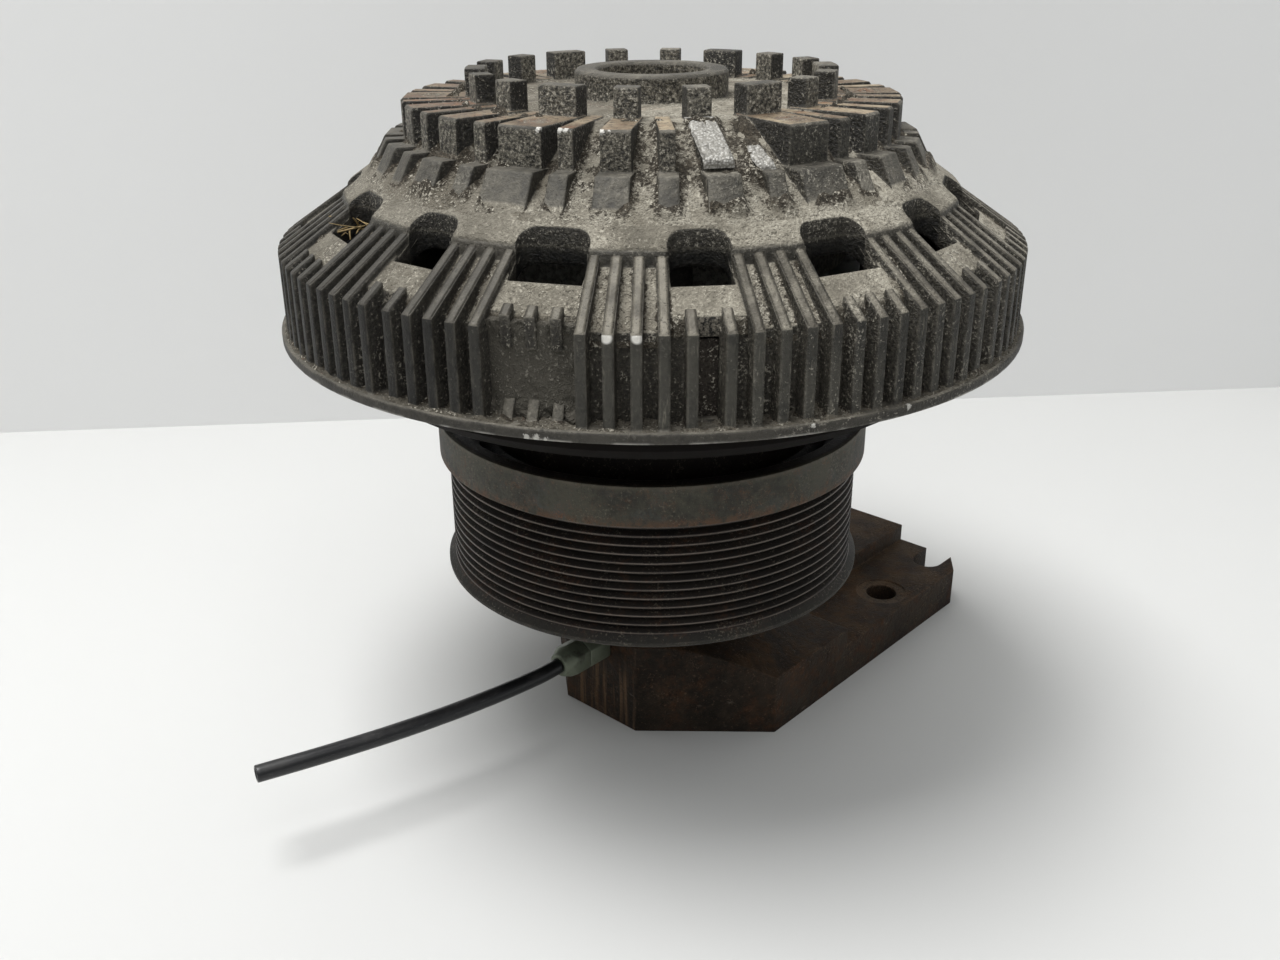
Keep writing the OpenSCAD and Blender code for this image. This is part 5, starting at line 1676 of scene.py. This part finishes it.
@dataclass
class DirtCrust(ABC):
    """A granular sheet of dirt round the shaft that follows the casting below it."""

    name: str
    inner: float
    outer: float
    rows: int
    columns: int
    seed: int
    grain: float = 0.2
    finish: Finish = DIRT
    sunk: float = 0.25
    border_sunk: float = 0.4
    reaches: tuple[float, ...] = (0.8, 2.4, 11.0)

    @abstractmethod
    def base(self, r: np.ndarray, a: np.ndarray) -> np.ndarray:
        """Height of the casting at a radius and angle."""

    @abstractmethod
    def drift(self, r: np.ndarray, a: np.ndarray) -> np.ndarray:
        """Height of the dirt that has gathered in corners, without its grains."""

    def cover(self, r: np.ndarray, a: np.ndarray) -> np.ndarray:
        """How thick the grains lie, from 0 to 1."""
        return np.ones_like(r)

    def corner(self, r: np.ndarray, a: np.ndarray) -> np.ndarray:
        """How close a place is to the foot of a rib or fin, where black dirt and painted shade go, from 0 to
        1.
        """
        return np.zeros_like(r)

    def kept(self, r: np.ndarray, a: np.ndarray) -> np.ndarray:
        """Where there is casting to lie on."""
        return np.ones(r.shape, bool)

    def build(self) -> bpy.types.Object:
        """Casting height plus gathered dirt plus grains: smooth noise at three sizes, cut off below.

        Returns:
            The sheet, which dips into the casting along its borders.
        """
        shape = (self.rows, self.columns)
        r, a = np.meshgrid(np.linspace(self.inner, self.outer, self.rows),
                           np.linspace(0.0, 360.0, self.columns, endpoint=False), indexing="ij")
        fine, middle, broad = (
            soft_noise(shape, reach, self.seed + k) for k, reach in enumerate(self.reaches)
        )
        grains = self.grain * self.cover(r, a) * (0.4 * middle + 0.7 * np.maximum(fine, -0.3) + 0.35 * broad)
        gathered = self.drift(r, a) * np.clip(1.0 + 0.45 * middle + 0.35 * broad, 0.1, 2.2)
        height = np.maximum(grains + gathered, -self.sunk)
        height[[0, -1]] = -self.border_sunk
        points = round_shaft(r, a, self.base(r, a) + height)
        faces = grid_faces(self.rows, self.columns, True)
        faces = faces[self.kept(r, a).ravel()[faces].all(axis=1)]
        used, faces = np.unique(faces, return_inverse=True)
        corner = self.corner(r, a).ravel()[used]
        quads = faces.reshape(-1, 4)[:, ::-1]
        return settle(mesh_object(self.name, points[used], quads, self.finish, corner=corner))


class DeckDirt(DirtCrust):
    """Dirt on the flat deck, gathered against the centre ring."""

    def base(self, r: np.ndarray, a: np.ndarray) -> np.ndarray:
        """The flat deck."""
        return np.full_like(r, FRONT.deck_z)

    def drift(self, r: np.ndarray, a: np.ndarray) -> np.ndarray:
        """Falls off with the distance from the ring."""
        return 0.9 * np.exp(-(r - FRONT.ring_r) / 1.0)


@dataclass
class ConeDirt(DirtCrust):
    """Dirt on the front cone, gathered along the ribs and thin above the windows."""

    heap_a: float = 240.6
    heap_r: float = 92.5
    feet_r: float = 104.0
    band_r: float = 105.0
    valley_r: tuple[float, float] = (73.0, 102.0)

    def base(self, r: np.ndarray, a: np.ndarray) -> np.ndarray:
        """The cone, or the deck where that is lower."""
        return np.minimum(FRONT.step_z + (FRONT.step_r - r) * FRONT.cone, FRONT.deck_z)

    def heap(self, r: np.ndarray, a: np.ndarray, half_width: float, along: np.ndarray) -> np.ndarray:
        """A heap at the broken ribs: falls with the fourth power across it, and as given along it."""
        turn = np.radians(a - self.heap_a)
        return np.exp(-((r * np.sin(turn) / half_width) ** 4) - along) * (np.cos(turn) > 0)

    def drift(self, r: np.ndarray, a: np.ndarray) -> np.ndarray:
        """Falls off beside the ribs, ends below their feet, and heaps up at the broken ribs."""
        along = 1.5 * fall_off(FRONT.rib_gap(r, a), 1.2) * np.clip((self.feet_r - r) / 3.0, 0.0, 1.0)
        return np.maximum(along, 2.6 * self.heap(r, a, 13.0, ((r - self.heap_r) / 5.0) ** 2))

    def corner(self, r: np.ndarray, a: np.ndarray) -> np.ndarray:
        """Falls off beside the ribs, and fills the valleys between the rib heads and the heap."""
        beside = fall_off(FRONT.rib_gap(r, a), 2.6) * np.clip((self.band_r - r) / 4.0, 0.0, 1.0)
        start, end = self.valley_r
        valley = 0.72 * np.clip((end - r) / 11.0, 0.0, 1.0) * (r > start)
        heap = self.heap(r, a, 12.0, ((r - self.heap_r + 5.0) / 9.0) ** 4)
        return np.maximum(np.maximum(beside, valley), heap)

    def cover(self, r: np.ndarray, a: np.ndarray) -> np.ndarray:
        """Thick between the ribs, thin on the band above the windows."""
        return np.clip((self.band_r - r) / 5.0, 0.12, 1.0)


@dataclass
class SlopeDirt(DirtCrust):
    """Dirt between the fins of the slope and on the pads under the windows."""

    knee_r: float = 130.0
    window_out_r: float = 120.3
    narrow_half: float = 10.2
    wide_half: float = 12.2
    slot_half: float = 3.8
    slot_r: float = 129.0

    def pad(self, a: np.ndarray) -> np.ndarray:
        """Where a window stands above."""
        turn = FRONT.turn(a)
        return (turn < FRONT.fins[1]) | (turn > FRONT.fins[4])

    def base(self, r: np.ndarray, a: np.ndarray) -> np.ndarray:
        """The slope's floor, or a pad below a window."""
        floor = FRONT.floor_z + (FRONT.floor_r - r) * FRONT.slope
        pad = FRONT.fin_z + (FRONT.fin_r - r) * FRONT.fin_slope - FRONT.pad_drop
        level = np.where(self.pad(a), pad, floor)
        return level - 2.2 * np.clip(r - self.knee_r, 0.0, None) ** 2

    def drift(self, r: np.ndarray, a: np.ndarray) -> np.ndarray:
        """Falls off with the distance from the nearest long fin."""
        return 0.75 * fall_off(FRONT.fin_gap(r, a, FRONT.fins[1:5]), 0.8)

    def corner(self, r: np.ndarray, a: np.ndarray) -> np.ndarray:
        """Falls off with the distance from the nearest long fin."""
        return fall_off(FRONT.fin_gap(r, a, FRONT.fins[1:5]), 0.9)

    def kept(self, r: np.ndarray, a: np.ndarray) -> np.ndarray:
        """Leaves the windows open."""
        turn = np.radians(FRONT.turn(a))
        across = r * np.sin(turn)
        wide = r * np.sin(np.radians(FRONT.period / 2) - turn) < self.wide_half
        window = ((across < self.narrow_half) | wide) & (r < self.window_out_r)
        return ~window & ~((across < self.slot_half) & (r > self.slot_r))


class LipDirt(DirtCrust):
    """Dirt on the lip, gathered at the foot of the fins."""

    def base(self, r: np.ndarray, a: np.ndarray) -> np.ndarray:
        """The flat top of the lip."""
        return np.full_like(r, FRONT.lip_top)

    def drift(self, r: np.ndarray, a: np.ndarray) -> np.ndarray:
        """Falls off with the distance from the rim's wall and from the nearest fin."""
        wall = 2.4 * fall_off(r - FRONT.floor_r, 1.4)
        side = 0.9 * fall_off(FRONT.fin_gap(r, a, FRONT.fins), 0.7) * (r < FRONT.fin_r + 0.5)
        return np.maximum(wall, side)

    def corner(self, r: np.ndarray, a: np.ndarray) -> np.ndarray:
        """Falls off with the distance from the nearest fin."""
        beside = fall_off(FRONT.fin_gap(r, a, FRONT.fins), 0.9)
        return beside * np.clip((FRONT.fin_r - r) / 1.5, 0.0, 1.0)


@dataclass
class RimRubble:
    """Eroded metal and dirt where three short fins have broken off the rim."""

    name: str = "rim_rubble"
    middle: float = -153.7
    half: float = 6.5
    low: float = 174.9
    high: float = 205.0
    rows: int = 64
    columns: int = 64
    seed: int = 41
    border: float = 0.985
    sunk: float = 0.5

    def build(self) -> bpy.types.Object:
        """Rim radius plus lumps that are thick at the lip and at the shoulder and thin between them.

        Returns:
            The rubble.
        """
        heights = np.linspace(self.low, self.high, self.rows)
        angles = np.linspace(self.middle - self.half, self.middle + self.half, self.columns)
        z, a = np.meshgrid(heights, angles, indexing="ij")
        shape = (self.rows, self.columns)
        lumps = soft_noise(shape, 3.2, self.seed) * 0.6 + soft_noise(shape, 1.2, self.seed + 1) * 0.45
        thick = 2.6 * np.exp(-(z - self.low) / 3.2) + 2.0 * np.exp(-(self.high - z) / 3.0)
        height = thick * np.clip(0.75 + 0.5 * lumps, 0.0, 2.0) + 0.16 * lumps + 0.45
        u, v = np.linspace(-1, 1, self.rows)[:, None], np.linspace(-1, 1, self.columns)[None, :]
        height = np.where(np.maximum(np.abs(u), np.abs(v)) > self.border, -self.sunk, height)
        points = round_shaft(FRONT.floor_r + height, a, z)
        return settle(
            mesh_object(self.name, points, grid_faces(self.rows, self.columns, False)[:, ::-1], ERODED)
        )


@dataclass
class HolePlugs:
    """Rusty dirt packed into the six fan bolt holes."""

    name: str = "bolt_hole_dirt"
    circle_r: float = 79.0
    hole_r: float = 5.5
    top: float = 252.98
    count: int = 6
    rings: int = 9
    sides: int = 28
    seed: int = 60

    def build(self) -> bpy.types.Object:
        """Round mounds: height falls with the fourth power of the radius, plus noise, copied round the shaft.

        Returns:
            The six plugs as one piece.
        """
        share, turn = np.meshgrid(np.linspace(1e-3, 1.0, self.rings),
                                  np.linspace(0, 2 * np.pi, self.sides, endpoint=False), indexing="ij")
        lumps = np.stack([soft_noise(share.shape, 1.2, self.seed + k) for k in range(self.count)])
        z = self.top - 0.6 * share**4 + 0.16 * lumps * (1 - share**3)
        spin = np.radians(FRONT.rib_a0 + np.arange(self.count) * 360.0 / self.count)[:, None, None]
        x, y = self.circle_r + self.hole_r * share * np.cos(turn), self.hole_r * share * np.sin(turn)
        points = np.stack(
            [x * np.cos(spin) - y * np.sin(spin), x * np.sin(spin) + y * np.cos(spin), z], axis=-1
        )
        cell = grid_faces(self.rings, self.sides, True)
        faces = (cell[None] + (np.arange(self.count) * self.rings * self.sides)[:, None, None]).reshape(-1, 4)
        return settle(mesh_object(self.name, points.reshape(-1, 3) * MM, faces, RUSTY_DIRT))


@dataclass
class StrawTuft:
    """Dry fibres caught in a window of the housing."""

    middle: Point = (-99.0, 49.0, 214.5)
    count: int = 26
    spread: float = 8.0
    thickness: float = 0.28
    seed: int = 7
    steps: int = 9
    sides: int = 5
    flatness: Point = (0.55, 1.0, 0.28)

    def build(self) -> bpy.types.Object:
        """Bent fibres: each is a quadratic curve through three random points, with circles carried along it.

        Returns:
            The tuft, as one piece.
        """
        random = np.random.default_rng(self.seed)
        steps, sides = self.steps, self.sides
        t = np.linspace(0.0, 1.0, steps)[:, None]
        taper = np.sin(np.pi * (0.06 + 0.88 * t[:, 0])) ** 0.4
        points, faces = [], []
        cell = grid_faces(steps, sides, True)
        for k in range(self.count):
            knots = np.array(self.middle) + random.normal(0.0, self.spread, (3, 3)) * np.array(self.flatness)
            curve = (1 - t) ** 2 * knots[0] + 2 * t * (1 - t) * knots[1] + t**2 * knots[2]
            size = self.thickness * (0.6 + 0.8 * random.random()) * taper
            points.append(rings_along(curve * MM, size * MM, sides))
            faces.append(cell + k * steps * sides)
        return settle(mesh_object("straw_tuft", np.vstack(points), np.vstack(faces), STRAW))


@dataclass
class FanHub:
    """The finned fan housing with its iron ring, bearing, cap, pins and springs."""

    edges: SoftEdges = SoftEdges(0.00045)
    broken: list[BrokenRib] = field(default_factory=lambda: [
        BrokenRib("broken_rib_face", -125.4, 4.9, [
            (66.9, 253.6), (69.4, 252.4), (78.0, 249.3), (89.6, 244.5), (91.0, 243.2), (91.6, 241.4),
        ], seed=3),
        BrokenRib("broken_rib_stub", -115.4, 2.9, [
            (79.0, 245.9), (84.0, 243.6), (90.2, 241.2), (92.4, 240.0),
        ], seed=9, lump=0.9, rows=40, columns=18),
    ])
    dirt: list[DirtCrust] = field(default_factory=lambda: [
        DeckDirt("deck_dirt", 27.6, 70.4, 54, 400, 11, 0.17),
        ConeDirt("cone_dirt", 69.6, 106.0, 60, 740, 21, 0.26),
        SlopeDirt("slope_dirt", 113.9, 131.3, 31, 1080, 31, 0.16),
        LipDirt("lip_dirt", 130.7, 138.9, 14, 1200, 51, 0.16, LIP_DIRT),
    ])

    def build(self) -> None:
        """Dresses the housing's solids and adds the broken faces, the dirt and the straw."""
        dress(["fan_housing"], HOUSING, self.edges)
        dress(["eddy_ring"], EDDY)
        dress(["fan_outer_race"], BEARING)
        dress(["fan_snap_ring", "guide_pins"], MACHINED)
        dress(["hub_seal"], RUBBER)
        dress(["dust_cap"], CAP)
        dress(["return_springs"], SPRING)
        for piece in (*self.broken, *self.dirt, RimRubble(), HolePlugs(), StrawTuft()):
            piece.build()


@dataclass
class PistonUnit:
    """The air piston with its lining and seals."""

    def build(self) -> None:
        """Dresses the piston's solids."""
        dress(["piston"], PISTON)
        dress(["friction_lining"], LINING)
        dress(["piston_outer_seal", "piston_inner_seal"], RUBBER)


@dataclass
class BallSets:
    """Balls and cages of the three bearings."""

    bearings: tuple[str, ...] = ("rear", "front", "fan")

    def build(self) -> None:
        """Dresses the balls and cages."""
        dress([f"{b}_balls" for b in self.bearings], BEARING)
        dress([f"{b}_ball_cage" for b in self.bearings], CAGE)


@dataclass(frozen=True)
class SoftLight:
    """A rectangular soft light: its place as the camera sees it, its two sides in metres and its power."""

    name: str
    across: float
    away: float
    height: float
    size: tuple[float, float]
    power: float


@dataclass
class Studio:
    """Floor, backdrop, soft light and the camera at the photographed angle."""

    eye: Point = (-0.3557, -0.3157, 0.3105)
    right: Point = (0.6716, -0.741, 0.0)
    ahead: Point = (0.741, 0.6716, 0.0)
    pitch: float = 0.42
    roll: float = -0.005
    lens: float = 35.353
    wall_left: tuple[float, float] = (-0.431, 0.302)
    wall_right: tuple[float, float] = (0.457, 0.378)
    wall_h: float = 1.5
    floor_half: float = 4.0
    sky: tuple[float, float, float, float] = (0.95, 0.98, 1.0, 1.0)
    sky_power: float = 0.34
    target_z: float = 0.1
    lights: tuple[SoftLight, ...] = (
        SoftLight("ceiling_light", -0.55, -0.15, 2.1, (1.1, 0.9), 42.5),
        SoftLight("front_light", 0.1, -1.1, 1.7, (1.4, 1.0), 8.0),
    )

    def spot(self, across: float, away: float, height: float) -> Vector:
        """A point given to the right of and beyond the shaft as the camera sees it."""
        return Vector(self.right) * across + Vector(self.ahead) * away + Vector((0.0, 0.0, height))

    def camera(self) -> None:
        """Places the camera: level right axis, tilted down by the pitch, turned by a slight roll."""
        right, level = Vector(self.right).normalized(), Vector(self.ahead).normalized()
        forward = level * math.cos(self.pitch) - Vector((0.0, 0.0, math.sin(self.pitch)))
        turn = Matrix((right, right.cross(forward), -forward)).transposed().to_4x4()
        data = bpy.data.cameras.new("photo_camera")
        data.lens, data.sensor_width, data.sensor_fit = self.lens, 36.0, "HORIZONTAL"
        data.clip_start, data.clip_end = 0.01, 30.0
        made = bpy.data.objects.new("photo_camera", data)
        made.matrix_world = Matrix.Translation(self.eye) @ turn @ Matrix.Rotation(self.roll, 4, "Z")
        bpy.context.scene.collection.objects.link(made)
        bpy.context.scene.camera = made

    def plane(self, name: str, corners: list[Vector], finish: Finish) -> None:
        """A flat four-sided stage piece through its corners, counter-clockwise from its front."""
        made = mesh_object(
            name, np.array([tuple(c) for c in corners]), np.array([[0, 1, 2, 3]]), finish, False
        )

    def lamp(self, light: SoftLight) -> None:
        """Places a soft light that looks at the middle of the clutch."""
        data = bpy.data.lights.new(light.name, "AREA")
        data.shape, data.size, data.size_y, data.energy = "RECTANGLE", *light.size, light.power
        made = bpy.data.objects.new(light.name, data)
        place = self.spot(light.across, light.away, light.height)
        made.location = place
        made.rotation_mode = "QUATERNION"
        made.rotation_quaternion = (self.spot(0.0, 0.0, self.target_z) - place).to_track_quat("-Z", "Y")
        bpy.context.scene.collection.objects.link(made)

    def build(self) -> None:
        """Makes the stage, the lights and the camera."""
        half = self.floor_half
        corners = [Vector((x * half, y * half, 0)) for x, y in ((-1, -1), (1, -1), (1, 1), (-1, 1))]
        self.plane("floor", corners, FLOOR)
        left, right = np.array(self.wall_left), np.array(self.wall_right)
        step = right - left
        foot = [self.spot(*end, 0.0) for end in (left - step * 2.0, right + step * 2.0)]
        rise = Vector((0, 0, self.wall_h))
        self.plane("backdrop", [foot[0], foot[1], foot[1] + rise, foot[0] + rise], WALL)
        for light in self.lights:
            self.lamp(light)
        world = bpy.data.worlds.new("soft_room")
        world.use_nodes = True
        sky = world.node_tree.nodes["Background"]
        sky.inputs[0].default_value = self.sky
        sky.inputs[1].default_value = self.sky_power
        scene = bpy.context.scene
        scene.world = world
        scene.view_settings.view_transform = "Standard"
        scene.view_settings.look = "None"
        self.camera()


def main() -> None:
    """Builds the stage and every unit of the clutch in order."""
    logging.basicConfig(level=logging.INFO, format="%(name)s: %(message)s")
    for unit in (Studio(), BracketUnit(), PulleyUnit(), FanHub(), PistonUnit(), BallSets()):
        unit.build()
        LOG.info("finished %s", type(unit).__name__)


if __name__ == "__main__":
    main()
